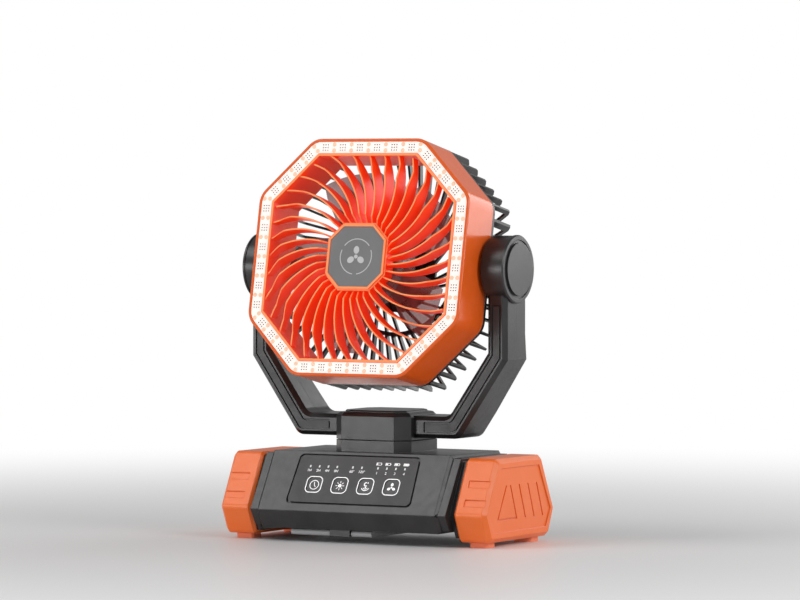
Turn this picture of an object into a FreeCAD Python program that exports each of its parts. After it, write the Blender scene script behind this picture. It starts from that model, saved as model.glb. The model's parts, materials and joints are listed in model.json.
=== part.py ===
import FreeCAD, Part
import math
import os
import re
import Sketcher
from FreeCAD import Placement, Rotation, Vector

# Portable camping fan. Millimetres, +Z up, front towards -Y, origin on the
# ground under the middle of the base. The head leans back by head_tilt.

doc = FreeCAD.newDocument("camping_fan")
dim = doc.addObject("Spreadsheet::Sheet", "dim")

SIZES = {
    # base housing, seen from the side: half depth and height of each corner
    "base_half": 80.0,
    "base_top_depth": 39.8,
    "base_top_height": 69.7,
    "base_mid_depth": 65.9,
    "base_mid_height": 24.8,
    "base_low_depth": 58.3,
    "base_low_height": 10.5,
    "base_wall": 3.0,
    "base_bevel": 2.0,
    "collar_half": 86.5,
    "collar_step": 2.2,
    "fit_gap": 0.15,
    # end caps
    "cap_inner": 90.3,
    "cap_outer": 118.0,
    "cap_top_depth": 36.6,
    "cap_top_height": 67.8,
    "cap_mid_depth": 58.4,
    "cap_mid_height": 25.5,
    "cap_low_depth": 48.6,
    "cap_low_height": 4.0,
    "cap_wall": 2.8,
    "spigot_length": 8.0,
    "cap_bevel": 3.2,
    "cap_round": 5.0,
    "cap_panel_inset": 7.5,
    "cap_panel_depth": 0.9,
    "grip_depth": 0.9,
    "grip_start": 7.5,
    "cap_lip": 2.2,
    "grip_high": 9.4,
    "slash_width": 1.7,
    "slash_depth": 1.0,
    "slash_pitch": 14.4,
    "slash_low": 20.5,
    "slash_high": 46.9,
    "slash_lean": 10.5,
    "foot_length": 16.0,
    "foot_depth": 14.0,
    "foot_reach": 36.0,
    # control panel on the sloping front
    "panel_half": 54.4,
    "panel_low": 7.7,
    "panel_high": 48.4,
    "panel_thick": 1.6,
    "panel_round": 4.0,
    "panel_groove": 1.2,
    "button_pitch": 22.9,
    "button_level": 23.1,
    "button_size": 12.6,
    "button_round": 3.4,
    "button_gap": 0.25,
    "button_lip": 1.2,
    "button_travel": 0.8,
    "button_sink": 0.5,
    "stem_radius": 2.0,
    "stem_length": 1.6,
    "lamp_level": 38.9,
    "lamp_width": 1.4,
    "lamp_height": 2.0,
    "board_level": 9.2,
    "board_thick": 1.6,
    "board_half": 50.0,
    "board_low": 9.0,
    "board_high": 44.0,
    "switch_size": 6.0,
    "switch_high": 3.7,
    "post_radius": 2.5,
    # batteries
    "cell_radius": 10.6,
    "cell_length": 70.0,
    "cell_pitch": 22.0,
    "tray_thick": 1.6,
    # neck: pedestal on the base and swivel block on the yoke
    "neck_half_width": 33.5,
    "neck_half_depth": 30.8,
    "neck_corner": 10.0,
    "neck_parting": 78.6,
    "neck_gap": 0.5,
    "block_top": 100.3,
    "block_bevel": 3.0,
    "block_cap_high": 1.6,
    "spindle_radius": 8.0,
    "swing_shaft_radius": 2.5,
    "bush_wall": 1.8,
    "bush_low": 60.0,
    "bush_flange": 13.0,
    "running_gap": 0.06,
    "washer_radius": 12.0,
    "washer_thick": 1.2,
    "swing_motor_radius": 14.0,
    "swing_motor_top": 56.4,
    "swing_motor_high": 19.0,
    "swing_motor_span": 17.5,
    # yoke, front view
    "yoke_bottom": 81.0,
    "yoke_width": 17.0,
    "yoke_low_corner": 72.0,
    "arm_gap": 3.3,
    "yoke_high_corner": 142.5,
    "yoke_front": 16.5,
    "yoke_back_top": 15.5,
    "yoke_back_low": 22.0,
    "yoke_bevel": 3.2,
    "yoke_round": 9.0,
    "trim_round": 6.0,
    "yoke_seam_screw": 12.0,
    "trim_width": 5.6,
    "trim_groove": 7.8,
    "trim_depth": 1.2,
    "trim_start": 43.0,
    "trim_end": 184.0,
    "drum_radius": 26.0,
    # tilt pivot
    "pivot_height": 212.35,
    "head_tilt": 11.2,
    "knob_radius": 26.5,
    "knob_thick": 2.4,
    "knob_face_radius": 20.5,
    "knob_face_high": 1.3,
    "knob_bevel": 1.0,
    "bolt_radius": 3.0,
    "bolt_head_radius": 6.0,
    "bolt_head_high": 4.0,
    "lug_radius": 18.0,
    "lug_inner": 84.0,
    "disc_thick": 2.6,
    "disc_radius": 16.0,
    # head casing, eight-sided, in the head's own upright frame
    "head_half": 93.7,
    "head_side": 48.8,
    "head_front": 47.2,
    "head_parting": 7.6,
    "head_wall": 2.4,
    "head_corner": 16.0,
    "rim_half": 80.0,
    "rim_side": 43.1,
    "rim_wall": 2.0,
    "rim_land": 1.5,
    "channel_depth": 5.6,
    "channel_floor": 2.0,
    "lamp_board_thick": 1.2,
    "chip_count": 6,
    "chip_size": 4.4,
    "chip_high": 0.8,
    "diffuser_thick": 1.4,
    "diffuser_sink": 0.5,
    # front grille: swirl vanes between the hub and the duct wall
    "vane_count": 36,
    "vane_thick": 1.2,
    "vane_radius": 65.0,
    "vane_start": 24.0,
    "vane_heading": 4.0,
    "vane_phase": -2.8,
    "vane_root_front": 46.6,
    "vane_dome_front": 52.2,
    "vane_tip_front": 45.7,
    "vane_back": 38.0,
    "dome_inner": 33.5,
    "dome_outer": 68.0,
    "hub_half": 23.6,
    "hub_side": 12.8,
    "hub_front": 50.2,
    "hub_depth": 13.0,
    "hub_wall": 2.0,
    "badge_sink": 0.4,
    "badge_thick": 1.2,
    # rear grille: fins that turn from the sides to the back
    "grille_depth": 33.0,
    "fin_count": 56,
    "fin_thick": 1.9,
    "fin_leg": 4.6,
    "fin_skew": 18.0,
    "fin_corner": 3.0,
    "frame_depth": 3.2,
    "ring_radius": 49.0,
    "ring_width": 3.0,
    "rear_plate_radius": 31.0,
    "rear_plate_thick": 2.6,
    # fan motor and blades
    "motor_radius": 17.5,
    "motor_front": 20.0,
    "motor_cup": 20.5,
    "motor_cup_depth": 10.0,
    "shaft_radius": 1.6,
    "blade_count": 5,
    "blade_tip": 73.0,
    "blade_front": 34.0,
    "blade_back": 12.0,
    "blade_thick": 1.4,
    "blade_phase": 37.0,
    "blade_width": 46.0,
    "blade_root": 26.0,
    "blade_bow": 1.6,
    "rotor_hub_radius": 31.0,
    "rotor_hub_front": 34.5,
    "rotor_hub_wall": 2.0,
    "nut_radius": 5.0,
    "nut_high": 2.4,
    # hanging loop folded under the base
    "loop_left": 57.0,
    "loop_right": 15.0,
    "loop_bar": 5.0,
    "loop_inset": 9.3,
    "loop_axis_height": 7.3,
    "loop_length": 52.0,
    "loop_lug_left": 21.5,
    "loop_lug_right": 3.5,
    "loop_pin_radius": 1.4,
    # sockets at the back
    "socket_height": 33.0,
    "charge_width": 9.0,
    "charge_high": 3.3,
    "supply_width": 13.2,
    "supply_high": 5.8,
    "socket_spacing": 20.0,
    "pillar_high": 22.5,
    "screw_radius": 1.5,
    "screw_head_radius": 2.8,
    "screw_length": 12.0,
}

for row, (alias, number) in enumerate(SIZES.items(), start=1):
    dim.set("A%d" % row, alias)
    dim.set("B%d" % row, str(number))
    dim.setAlias("B%d" % row, alias)
doc.recompute()

DERIVED = {
    "yoke_reach": "(head_half + arm_gap + yoke_width)",
    "loop_axis_depth": "(base_low_depth - loop_inset)",
}
ALIAS = re.compile(r"\b(" + "|".join(sorted(SIZES, key=len, reverse=True)) + r")\b")
SUB_PARTS = {}
FRONT, SIDE, TOP = "XZ_Plane", "YZ_Plane", "XY_Plane"


def tied(text):
    """The expression with each size looked up in the sheet."""
    for alias, formula in DERIVED.items():
        text = re.sub(r"\b%s\b" % alias, formula, str(text))
    return ALIAS.sub(r"dim.\1", str(text))


def value(text):
    """The number that an expression has now."""
    return float(dim.evalExpression(tied(text)))


def bind(item, field, text):
    item.setExpression(field, tied(text))


def part(item, name):
    """Name a finished sub-part."""
    item.Label = name
    SUB_PARTS[name] = item
    return item


def new(kind, name):
    return doc.addObject(kind, name)


def body(name):
    return new("PartDesign::Body", name)


def origin(solid, role):
    return [item for item in solid.Origin.OriginFeatures if item.Role == role][0]


def sketch(solid, plane, offset):
    """An empty sketch on one of the body's planes, moved along its normal."""
    item = solid.newObject("Sketcher::SketchObject", solid.Name + "_sketch")
    item.AttachmentSupport = (origin(solid, plane), [""])
    item.MapMode = "FlatFace"
    bind(item, ".AttachmentOffset.Base.z", offset)
    return item


def pin_point(item, shape, end, x, y):
    """Hold one point of a sketch by its two distances from the origin."""
    for kind, text in (("DistanceX", x), ("DistanceY", y)):
        index = item.addConstraint(Sketcher.Constraint(kind, -1, 1, shape, end, value(text)))
        bind(item, "Constraints[%d]" % index, text)


def draw_polygon(item, points):
    spots = [Vector(value(x), value(y), 0) for x, y in points]
    first = item.GeometryCount
    count = len(spots)
    for k in range(count):
        item.addGeometry(Part.LineSegment(spots[k], spots[(k + 1) % count]), False)
    for k in range(count):
        item.addConstraint(Sketcher.Constraint("Coincident", first + k, 2, first + (k + 1) % count, 1))
    for k, (x, y) in enumerate(points):
        pin_point(item, first + k, 1, x, y)


def draw_circle(item, x, y, radius):
    spot = Vector(value(x), value(y), 0)
    index = item.addGeometry(Part.Circle(spot, Vector(0, 0, 1), value(radius)), False)
    pin_point(item, index, 3, x, y)
    ring = item.addConstraint(Sketcher.Constraint("Radius", index, value(radius)))
    bind(item, "Constraints[%d]" % ring, radius)


def draw(item, outlines):
    """Polygons are lists of points, circles are (x, y, radius)."""
    for outline in outlines:
        if isinstance(outline, tuple):
            draw_circle(item, *outline)
        else:
            draw_polygon(item, outline)


def pad(solid, plane, outlines, low, high):
    """Material between two distances along the world axis that the plane faces."""
    start = "-(%s)" % high if plane == FRONT else low
    item = sketch(solid, plane, start)
    draw(item, outlines)
    feature = solid.newObject("PartDesign::Pad", solid.Name + "_pad")
    feature.Profile = item
    bind(feature, "Length", "(%s) - (%s)" % (high, low))
    solid.Tip = feature
    doc.recompute()
    return feature


def pocket(solid, plane, outlines, low, high):
    """Material taken away between two distances along that axis."""
    start = "-(%s)" % low if plane == FRONT else high
    item = sketch(solid, plane, start)
    draw(item, outlines)
    feature = solid.newObject("PartDesign::Pocket", solid.Name + "_pocket")
    feature.Profile = item
    bind(feature, "Length", "(%s) - (%s)" % (high, low))
    solid.Tip = feature
    doc.recompute()
    return feature


def pattern(solid, features, axis, count):
    item = solid.newObject("PartDesign::PolarPattern", solid.Name + "_pattern")
    item.Originals = features
    item.Axis = (origin(solid, axis), [""])
    item.Angle = 360
    bind(item, "Occurrences", count)
    solid.Tip = item
    doc.recompute()
    return item


def dress(solid, kind, size, chosen):
    """Round or bevel the edges of the body's last feature that the test picks."""
    last = solid.Tip
    names = ["Edge%d" % (k + 1) for k, edge in enumerate(last.Shape.Edges) if chosen(edge)]
    item = solid.newObject("PartDesign::" + kind, solid.Name + "_" + kind.lower())
    item.Base = (last, names)
    bind(item, "Radius" if kind == "Fillet" else "Size", size)
    solid.Tip = item
    doc.recompute()
    return item


def along(axis):
    """A test for straight edges that run along an axis."""
    def chosen(edge):
        if not isinstance(edge.Curve, Part.Line):
            return False
        return edge.tangentAt(edge.FirstParameter).cross(axis).Length < 1e-6
    return chosen


def at_level(axis, level):
    """A test for edges that lie wholly at one level of an axis."""
    def chosen(edge):
        return all(abs(point.Point.dot(axis) - level) < 1e-4 for point in edge.Vertexes)
    return chosen


X = Vector(1, 0, 0)
Y = Vector(0, 1, 0)
Z = Vector(0, 0, 1)


def fields(item, **texts):
    for field, text in texts.items():
        bind(item, field, text)
    return item


def place(item, x="0", y="0", z="0"):
    for axis, text in zip("xyz", (x, y, z)):
        bind(item, ".Placement.Base." + axis, text)
    return item


def box(name, x0, x1, y0, y1, z0, z1):
    """A box between two corners."""
    item = new("Part::Box", name)
    fields(item, Length="(%s) - (%s)" % (x1, x0), Width="(%s) - (%s)" % (y1, y0),
           Height="(%s) - (%s)" % (z1, z0))
    return place(item, x0, y0, z0)


TURN = {"X": Rotation(Y, 90), "Y": Rotation(X, -90), "Z": Rotation()}


def rod(name, axis, radius, low, high, x="0", y="0", z="0"):
    """A round bar along an axis, from low to high on that axis."""
    item = new("Part::Cylinder", name)
    item.Placement = Placement(Vector(), TURN[axis])
    fields(item, Radius=radius, Height="(%s) - (%s)" % (high, low))
    start = {"X": (low, y, z), "Y": (x, low, z), "Z": (x, y, low)}[axis]
    return place(item, *start)


def cut(name, base, *tools):
    tool = tools[0] if len(tools) == 1 else fuse(name + "_tools", *tools)
    item = new("Part::Cut", name)
    item.Base = base
    item.Tool = tool
    return item


def fuse(name, *shapes):
    item = new("Part::MultiFuse", name)
    item.Shapes = list(shapes)
    item.Refine = True
    return item


def common(name, *shapes):
    item = new("Part::MultiCommon", name)
    item.Shapes = list(shapes)
    return item


def together(name, *shapes):
    """Separate pieces that share one name."""
    item = new("Part::Compound", name)
    item.Links = list(shapes)
    return item


def mirrored(name, base):
    """The same piece on the other side of the middle plane."""
    item = new("Part::Mirroring", name)
    item.Source = base
    item.Normal = X
    return item


def ring(name, axis, outer, inner, low, high, x="0", y="0", z="0"):
    return cut(name, rod(name + "_outer", axis, outer, low, high, x, y, z),
               rod(name + "_bore", axis, inner, "(%s) - 1" % low, "(%s) + 1" % high, x, y, z))


def both(points):
    """A half outline, given top to bottom on the + side, closed on the - side."""
    other = [("-(%s)" % x, y) for x, y in reversed(points)]
    return list(points) + other


def eight(half, side, grow="0"):
    """The eight-sided outline of the head; grow moves each side outward."""
    wide = "(%s) + (%s)" % (half, grow)
    near = "(%s) + (%s) * 0.4142" % (side, grow)
    quarter = [(wide, near), (near, wide)]
    lower = [(x, "-(%s)" % y) for x, y in reversed(quarter)]
    return both([quarter[1], quarter[0]] + [lower[1], lower[0]])


def loose(item):
    """A piece whose own place is free: a plain shape that has one is wrapped."""
    if item.TypeId in ("Part::Box", "Part::Cylinder"):
        return together(item.Name + "_set", item)
    return item


def on_head(item):
    """Lean a piece of the head back about the tilt pivot."""
    item = loose(item)
    item.Placement = Placement(Vector(0, 0, value("pivot_height")), Rotation(-X, value("head_tilt")))
    bind(item, ".Placement.Base.z", "pivot_height")
    bind(item, ".Placement.Rotation.Angle", "head_tilt")
    return item


SLOPE = "atan2(base_top_height - base_mid_height; base_mid_depth - base_top_depth)"


def on_slope(item):
    """Set a piece made flat on the sloping front of the base."""
    item = loose(item)
    item.Placement = Placement(Vector(), Rotation(X, value(SLOPE)))
    place(item, "0", "-base_mid_depth", "base_mid_height")
    bind(item, ".Placement.Rotation.Angle", SLOPE)
    return item


def rounded(solid_name, width, depth, corner, low, high, x="0", y="0"):
    """A block with four rounded corners, made flat."""
    solid = body(solid_name)
    half_w, half_d = "(%s) / 2" % width, "(%s) / 2" % depth
    pad(solid, TOP, [[("(%s) + %s" % (x, half_w), "(%s) + %s" % (y, half_d)),
                      ("(%s) + %s" % (x, half_w), "(%s) - %s" % (y, half_d)),
                      ("(%s) - %s" % (x, half_w), "(%s) - %s" % (y, half_d)),
                      ("(%s) - %s" % (x, half_w), "(%s) + %s" % (y, half_d))]], low, high)
    dress(solid, "Fillet", corner, along(Z))
    return solid


# Base housing


def base_outline(step="0"):
    return both([("base_top_depth - (%s)" % step, "base_top_height - (%s)" % step),
                 ("base_mid_depth - (%s)" % step, "base_mid_height")])


def lower_outline(step="0"):
    return both([("base_mid_depth - (%s)" % step, "base_mid_height"),
                 ("base_low_depth - (%s)" % step, "base_low_height + (%s)" % step)])


def cap_outline(grow="0"):
    return both([("cap_top_depth + (%s) * 0.7" % grow, "cap_top_height + (%s)" % grow),
                 ("cap_mid_depth + (%s)" % grow, "cap_mid_height"),
                 ("cap_low_depth + (%s) * 0.8" % grow, "cap_low_height - (%s)" % grow)])


def neck_outline():
    return both([("neck_half_width - neck_corner", "neck_half_depth"),
                 ("neck_half_width", "neck_half_depth - neck_corner"),
                 ("neck_half_width", "-(neck_half_depth - neck_corner)"),
                 ("neck_half_width - neck_corner", "-neck_half_depth")])


def spigots(name, top):
    """The narrower ends of the housing that carry the end caps."""
    ends = []
    for side, (start, stop) in enumerate((("collar_half", "cap_inner + spigot_length"),
                                          ("-(cap_inner + spigot_length)", "-collar_half"))):
        solid = body("%s_%d" % (name, side))
        pad(solid, SIDE, [cap_outline("-(cap_wall + fit_gap)")], start, stop)
        low, high = ("base_mid_height", "100") if top else ("0", "base_mid_height")
        half = box("%s_half_%d" % (name, side), "-200", "200", "-100", "100", low, high)
        ends.append(common("%s_part_%d" % (name, side), solid, half))
    return ends


def button_places():
    return ["button_pitch * %s" % k for k in (-1.5, -0.5, 0.5, 1.5)]


def base_upper():
    solid = body("upper_casing")
    pad(solid, SIDE, [base_outline()], "-base_half", "base_half")
    dress(solid, "Chamfer", "base_bevel", at_level(X, value("base_half")))
    dress(solid, "Chamfer", "base_bevel", at_level(X, -value("base_half")))
    collar = body("upper_collar")
    pad(collar, SIDE, [base_outline("collar_step")], "-collar_half", "collar_half")
    neck = body("neck")
    pad(neck, TOP, [neck_outline()], "base_top_height - 1", "neck_parting")
    hollow = body("upper_hollow")
    pad(hollow, SIDE, [both([("base_top_depth - base_wall", "base_top_height - base_wall"),
                             ("base_mid_depth - base_wall * 1.3", "base_mid_height"),
                             ("base_mid_depth - base_wall * 1.3", "base_mid_height - 1")])],
        "-(base_half - base_wall)", "base_half - base_wall")
    posts = [on_slope(rod("board_post_%d" % k, "Z", "post_radius", "-board_level", "-1.8", x, y))
             for k, (x, y) in enumerate([("board_half - 5", "board_high - 4"),
                                         ("5 - board_half", "board_high - 4"),
                                         ("board_half - 5", "board_low + 3"),
                                         ("5 - board_half", "board_low + 3")])]
    ears = [rod("motor_post_%d" % k, "Z", "post_radius", "swing_motor_top", "base_top_height - 1",
                "%d * swing_motor_span" % side) for k, side in enumerate((-1, 1))]
    seat = rod("bush_seat", "Z", "bush_flange", "bush_low + 3", "base_top_height")
    shell = cut("upper_shell", fuse("upper_solid", solid, collar, *spigots("upper_spigot", True)), hollow)
    pillars = [rod("screw_pillar_%d" % k, "Z", "screw_radius + 2.5",
                   "base_low_height + base_wall + 0.1", "base_mid_height + pillar_high", x, y)
               for k, (x, y) in enumerate(screw_places())]
    bites = [rod("screw_bite_%d" % k, "Z", "screw_radius", "0", "base_low_height + screw_length", x, y)
             for k, (x, y) in enumerate(screw_places())]
    bed = on_slope(slab("panel_bed", "panel_groove", "-panel_thick", "3"))
    wells = [on_slope(rounded("button_well_%d" % k, "button_size + 2 * button_lip + 4 * button_gap",
                              "button_size + 2 * button_lip + 4 * button_gap", "button_round",
                              "-7", "3", x, "button_level"))
             for k, x in enumerate(button_places())]
    bore = rod("bush_bore", "Z", "spindle_radius + running_gap + bush_wall", "40", "100")
    rim = rod("bush_rim", "Z", "bush_flange - 2", "neck_parting - 1", "100")
    charge = box("charge_hole", "-charge_width / 2 - fit_gap", "charge_width / 2 + fit_gap", "40", "80",
                 "socket_height - charge_high / 2 - fit_gap", "socket_height + charge_high / 2 + fit_gap")
    supply = box("supply_hole", "socket_spacing - supply_width / 2 - fit_gap",
                 "socket_spacing + supply_width / 2 + fit_gap", "40", "80",
                 "socket_height - supply_high / 2 - fit_gap", "socket_height + supply_high / 2 + fit_gap")
    whole = fuse("upper_whole", shell, neck, seat, *posts, *ears, *pillars)
    part(cut("base_upper", whole, bed, bore, rim, charge, supply, *wells, *bites), "base_upper_shell")


def base_lower():
    solid = body("lower_casing")
    pad(solid, SIDE, [lower_outline()], "-base_half", "base_half")
    dress(solid, "Chamfer", "base_bevel", at_level(X, value("base_half")))
    dress(solid, "Chamfer", "base_bevel", at_level(X, -value("base_half")))
    collar = body("lower_collar")
    pad(collar, SIDE, [lower_outline("collar_step")], "-collar_half", "collar_half")
    hollow = body("lower_hollow")
    pad(hollow, SIDE, [both([("base_mid_depth - base_wall * 1.3", "base_mid_height + 1"),
                             ("base_mid_depth - base_wall * 1.3", "base_mid_height"),
                             ("base_low_depth - base_wall * 1.3", "base_low_height + base_wall")])],
        "-(base_half - base_wall)", "base_half - base_wall")
    shell = cut("lower_shell", fuse("lower_solid", solid, collar, *spigots("lower_spigot", False)), hollow)
    lug = box("loop_lug", "-loop_lug_left", "-loop_lug_right", "-loop_axis_depth - 3.4",
              "-loop_axis_depth + 3.4", "loop_axis_height - 2.4", "base_low_height + 1")
    hole = rod("loop_hole", "X", "loop_pin_radius + running_gap", "-loop_left", "loop_right",
               y="-loop_axis_depth", z="loop_axis_height")
    screws = [rod("screw_well_%d" % k, "Z", "screw_radius + fit_gap", "0", "base_low_height + 8", x, y)
              for k, (x, y) in enumerate(screw_places())]
    heads = [rod("screw_head_well_%d" % k, "Z", "screw_head_radius + fit_gap", "0",
                 "base_low_height + 1.6", x, y) for k, (x, y) in enumerate(screw_places())]
    whole = fuse("lower_whole", shell, lug)
    part(cut("base_lower", whole, hole, *screws, *heads), "base_lower_shell")


def screw_places():
    return [("%s * (base_half - 12)" % a, "%s * (base_low_depth - 12)" % b)
            for a in (-1, 1) for b in (-1, 1)]


def end_caps():
    solid = body("cap_casing")
    pad(solid, SIDE, [cap_outline()], "cap_inner", "cap_outer")
    dress(solid, "Fillet", "cap_round", along(X))
    dress(solid, "Chamfer", "cap_bevel", at_level(X, value("cap_outer")))
    dress(solid, "Chamfer", "cap_lip", at_level(X, value("cap_inner")))
    pocket(solid, SIDE, [cap_outline("-cap_wall")], "cap_inner", "cap_outer - cap_wall - 2")
    pocket(solid, SIDE, [cap_outline("-cap_panel_inset")], "cap_outer - cap_panel_depth", "cap_outer")
    slashes = []
    for k in range(4):
        middle = "slash_pitch * %d - 15.5" % k
        slashes.append(slash(middle, "(%s) + slash_lean" % middle))
    slashes.append(slash("-21.9", "-21.9 - slash_lean * 1.39"))
    slashes.append([("-36.5", "slash_low"), ("-36.5", "slash_low + slash_width * 0.7"),
                    ("slash_lean - 15.5", "slash_low + slash_width * 0.7"),
                    ("slash_lean - 15.5", "slash_low")])
    for outline in slashes:
        pocket(solid, SIDE, [outline], "cap_outer - cap_panel_depth - slash_depth", "cap_outer")
    grips = []
    for k, level in enumerate(("cap_top_height - 16.4", "cap_top_height - 30.6")):
        for end in (-1, 1):
            grips.append(grip("grip_%d_%d" % (k, end + 1), level, end))
    left = cut("cap_right", solid, *grips)
    part(left, "end_cap_right")
    part(mirrored("cap_left", left), "end_cap_left")


def slash(top, bottom):
    return [(bottom, "slash_low"), (top, "slash_high"),
            ("(%s) + slash_width" % top, "slash_high"), ("(%s) + slash_width" % bottom, "slash_low")]


def grip(name, level, end):
    """A shallow finger band across the sloping face of an end cap."""
    run = "(cap_mid_depth - cap_top_depth) / (cap_top_height - cap_mid_height)"
    near = "cap_mid_depth - ((%s) - cap_mid_height) * %s" % (level, run)
    low = "(%s) - 5.2" % level
    far = "cap_mid_depth - ((%s) - cap_mid_height) * %s" % (low, run)
    solid = body(name)
    pad(solid, SIDE, [[("%d * (%s - grip_depth)" % (end, near), level),
                       ("%d * (%s + 3)" % (end, near), level),
                       ("%d * (%s + 3)" % (end, far), low),
                       ("%d * (%s - grip_depth)" % (end, far), low)]],
        "cap_inner + grip_start", "cap_outer + 1")
    return solid


def feet():
    pads = []
    for a in (-1, 1):
        for b in (-1, 1):
            x = "%d * (cap_inner + cap_outer) / 2" % a
            y = "%d * foot_reach" % b
            pads.append(rounded("foot_%d_%d" % (a + 1, b + 1), "foot_length", "foot_depth", "3",
                                "0", "cap_low_height", x, y))
    part(together("feet_group", *pads), "feet")


def slab(name, grow, low, high):
    """The outline of the control panel as a plate, made flat."""
    solid = body(name)
    pad(solid, TOP, [both([("panel_half - 2 + (%s)" % grow, "panel_high + (%s)" % grow),
                           ("panel_half + (%s)" % grow, "panel_low - (%s)" % grow)])], low, high)
    dress(solid, "Fillet", "panel_round", along(Z))
    return solid


def lamp_places():
    timer = ["-41.8", "-33.8", "-25.9", "-18.0"]
    swing = ["-4.0", "4.0"]
    charge = ["18.3", "26.2", "34.1", "42.1"]
    return timer + swing + charge


def control_panel():
    plate = slab("panel_plate", "0", "-panel_thick", "0.2")
    holes = [rounded("button_hole_%d" % k, "button_size + 2 * button_gap",
                     "button_size + 2 * button_gap", "button_round", "-5", "5", x, "button_level")
             for k, x in enumerate(button_places())]
    slots = [box("lamp_hole_%d" % k, "%s - lamp_width / 2" % x, "%s + lamp_width / 2" % x,
                 "lamp_level - lamp_height / 2", "lamp_level + lamp_height / 2", "-5", "5")
             for k, x in enumerate(lamp_places())]
    part(on_slope(cut("panel", plate, *holes, *slots)), "control_panel")
    lamps = [box("lamp_%d" % k, "%s - lamp_width / 2" % x, "%s + lamp_width / 2" % x,
                 "lamp_level - lamp_height / 2", "lamp_level + lamp_height / 2",
                 "-panel_thick", "0.1") for k, x in enumerate(lamp_places())]
    part(on_slope(together("lamps", *lamps)), "indicator_lamps")


def buttons():
    for name, x in zip(("timer", "light", "swing", "speed"), button_places()):
        cap = rounded(name + "_cap", "button_size", "button_size", "button_round - button_gap",
                      "-panel_thick - 1.4", "-button_sink", x, "button_level")
        lip = rounded(name + "_lip", "button_size + 2 * button_lip", "button_size + 2 * button_lip",
                      "button_round", "-panel_thick - 1.4", "-panel_thick - 0.1", x, "button_level")
        stem = rod(name + "_stem", "Z", "stem_radius", "-panel_thick - 1.4 - stem_length",
                   "-panel_thick - 1", x, "button_level")
        part(on_slope(fuse(name + "_button", cap, lip, stem)), "button_" + name)


def electronics():
    board = box("board", "-board_half", "board_half", "board_low", "board_high",
                "-board_level - board_thick", "-board_level")
    part(on_slope(board), "control_board")
    switches = []
    for k, x in enumerate(button_places()):
        case = box("switch_case_%d" % k, "%s - switch_size / 2" % x, "%s + switch_size / 2" % x,
                   "button_level - switch_size / 2", "button_level + switch_size / 2",
                   "-board_level", "-board_level + switch_high - 0.8")
        key = rod("switch_key_%d" % k, "Z", "stem_radius - 0.3", "-board_level + switch_high - 0.8",
                  "-board_level + switch_high", x, "button_level")
        switches.append(fuse("switch_%d" % k, case, key))
    part(on_slope(together("switches", *switches)), "tact_switches")
    floor = "base_low_height + base_wall"
    cells = [rod("cell_%d" % k, "X", "cell_radius", "-cell_length / 2", "cell_length / 2",
                 y="cell_pitch * %s" % side, z="%s + tray_thick + cell_radius" % floor)
             for k, side in enumerate((-1.5, -0.5, 0.5, 1.5))]
    part(together("cells", *cells), "battery_cells")
    tray = box("tray_block", "-cell_length / 2 - tray_thick", "cell_length / 2 + tray_thick",
               "-cell_pitch * 2 - tray_thick", "cell_pitch * 2 + tray_thick",
               floor, "%s + tray_thick + cell_radius * 1.2" % floor)
    bay = box("tray_bay", "-cell_length / 2 - 0.1", "cell_length / 2 + 0.1", "-cell_pitch * 2",
              "cell_pitch * 2", "%s + tray_thick" % floor, "100")
    part(cut("tray", tray, bay), "battery_tray")


def sockets():
    back = "base_mid_depth - (socket_height - base_mid_height) / tan(%s) - 0.6" % SLOPE
    charge = box("charge_case", "-charge_width / 2", "charge_width / 2", "(%s) - 7.5" % back, back,
                 "socket_height - charge_high / 2", "socket_height + charge_high / 2")
    charge_slot = box("charge_slot", "-charge_width / 2 + 0.5", "charge_width / 2 - 0.5",
                      "(%s) - 6" % back, "(%s) + 1" % back,
                      "socket_height - charge_high / 2 + 0.5", "socket_height + charge_high / 2 - 0.5")
    part(cut("charge_socket", charge, charge_slot), "usb_c_socket")
    supply = box("supply_case", "socket_spacing - supply_width / 2", "socket_spacing + supply_width / 2",
                 "(%s) - 13" % back, back, "socket_height - supply_high / 2",
                 "socket_height + supply_high / 2")
    supply_slot = box("supply_slot", "socket_spacing - supply_width / 2 + 0.6",
                      "socket_spacing + supply_width / 2 - 0.6", "(%s) - 11" % back, "(%s) + 1" % back,
                      "socket_height + 0.6", "socket_height + supply_high / 2 - 0.6")
    part(cut("supply_socket", supply, supply_slot), "usb_a_socket")


def base_screws():
    items = []
    for k, (x, y) in enumerate(screw_places()):
        head = rod("base_screw_head_%d" % k, "Z", "screw_head_radius", "base_low_height + 0.1",
                   "base_low_height + 1.6", x, y)
        thread = rod("base_screw_%d" % k, "Z", "screw_radius", "base_low_height + 1.5",
                     "base_low_height + screw_length - 0.5", x, y)
        items.append(fuse("base_screw_whole_%d" % k, head, thread))
    part(together("base_screw_group", *items), "base_screws")


# Hanging loop


def hanging_loop():
    level = "loop_axis_height"
    knuckle = rod("loop_knuckle", "X", "loop_bar / 2 - 0.2", "-loop_left", "loop_right",
                  y="-loop_axis_depth", z=level)
    plate = box("loop_plate", "-loop_left", "loop_right", "-loop_axis_depth",
               "-loop_axis_depth + loop_length", "%s - loop_bar / 2 + 0.2" % level,
               "%s + loop_bar / 2 - 0.2" % level)
    loop = fuse("loop_blank", knuckle, plate)
    space = box("loop_space", "-loop_left + loop_bar", "loop_right - loop_bar",
                "-loop_axis_depth + loop_bar", "-loop_axis_depth + loop_length - loop_bar", "0", "20")
    notch = box("loop_notch", "-loop_lug_left - 0.3", "-loop_lug_right + 0.3", "-loop_axis_depth - 5",
                "-loop_axis_depth + loop_bar + 1", "0", "20")
    bore = rod("loop_bore", "X", "loop_pin_radius + running_gap", "-loop_left + 4", "loop_right - 4",
               y="-loop_axis_depth", z=level)
    part(cut("loop", loop, space, notch, bore), "hanging_loop")
    part(rod("loop_pin", "X", "loop_pin_radius", "-loop_left + 4.2", "loop_right - 4.2",
             y="-loop_axis_depth", z=level), "loop_pin")


# Neck and swivel


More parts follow.
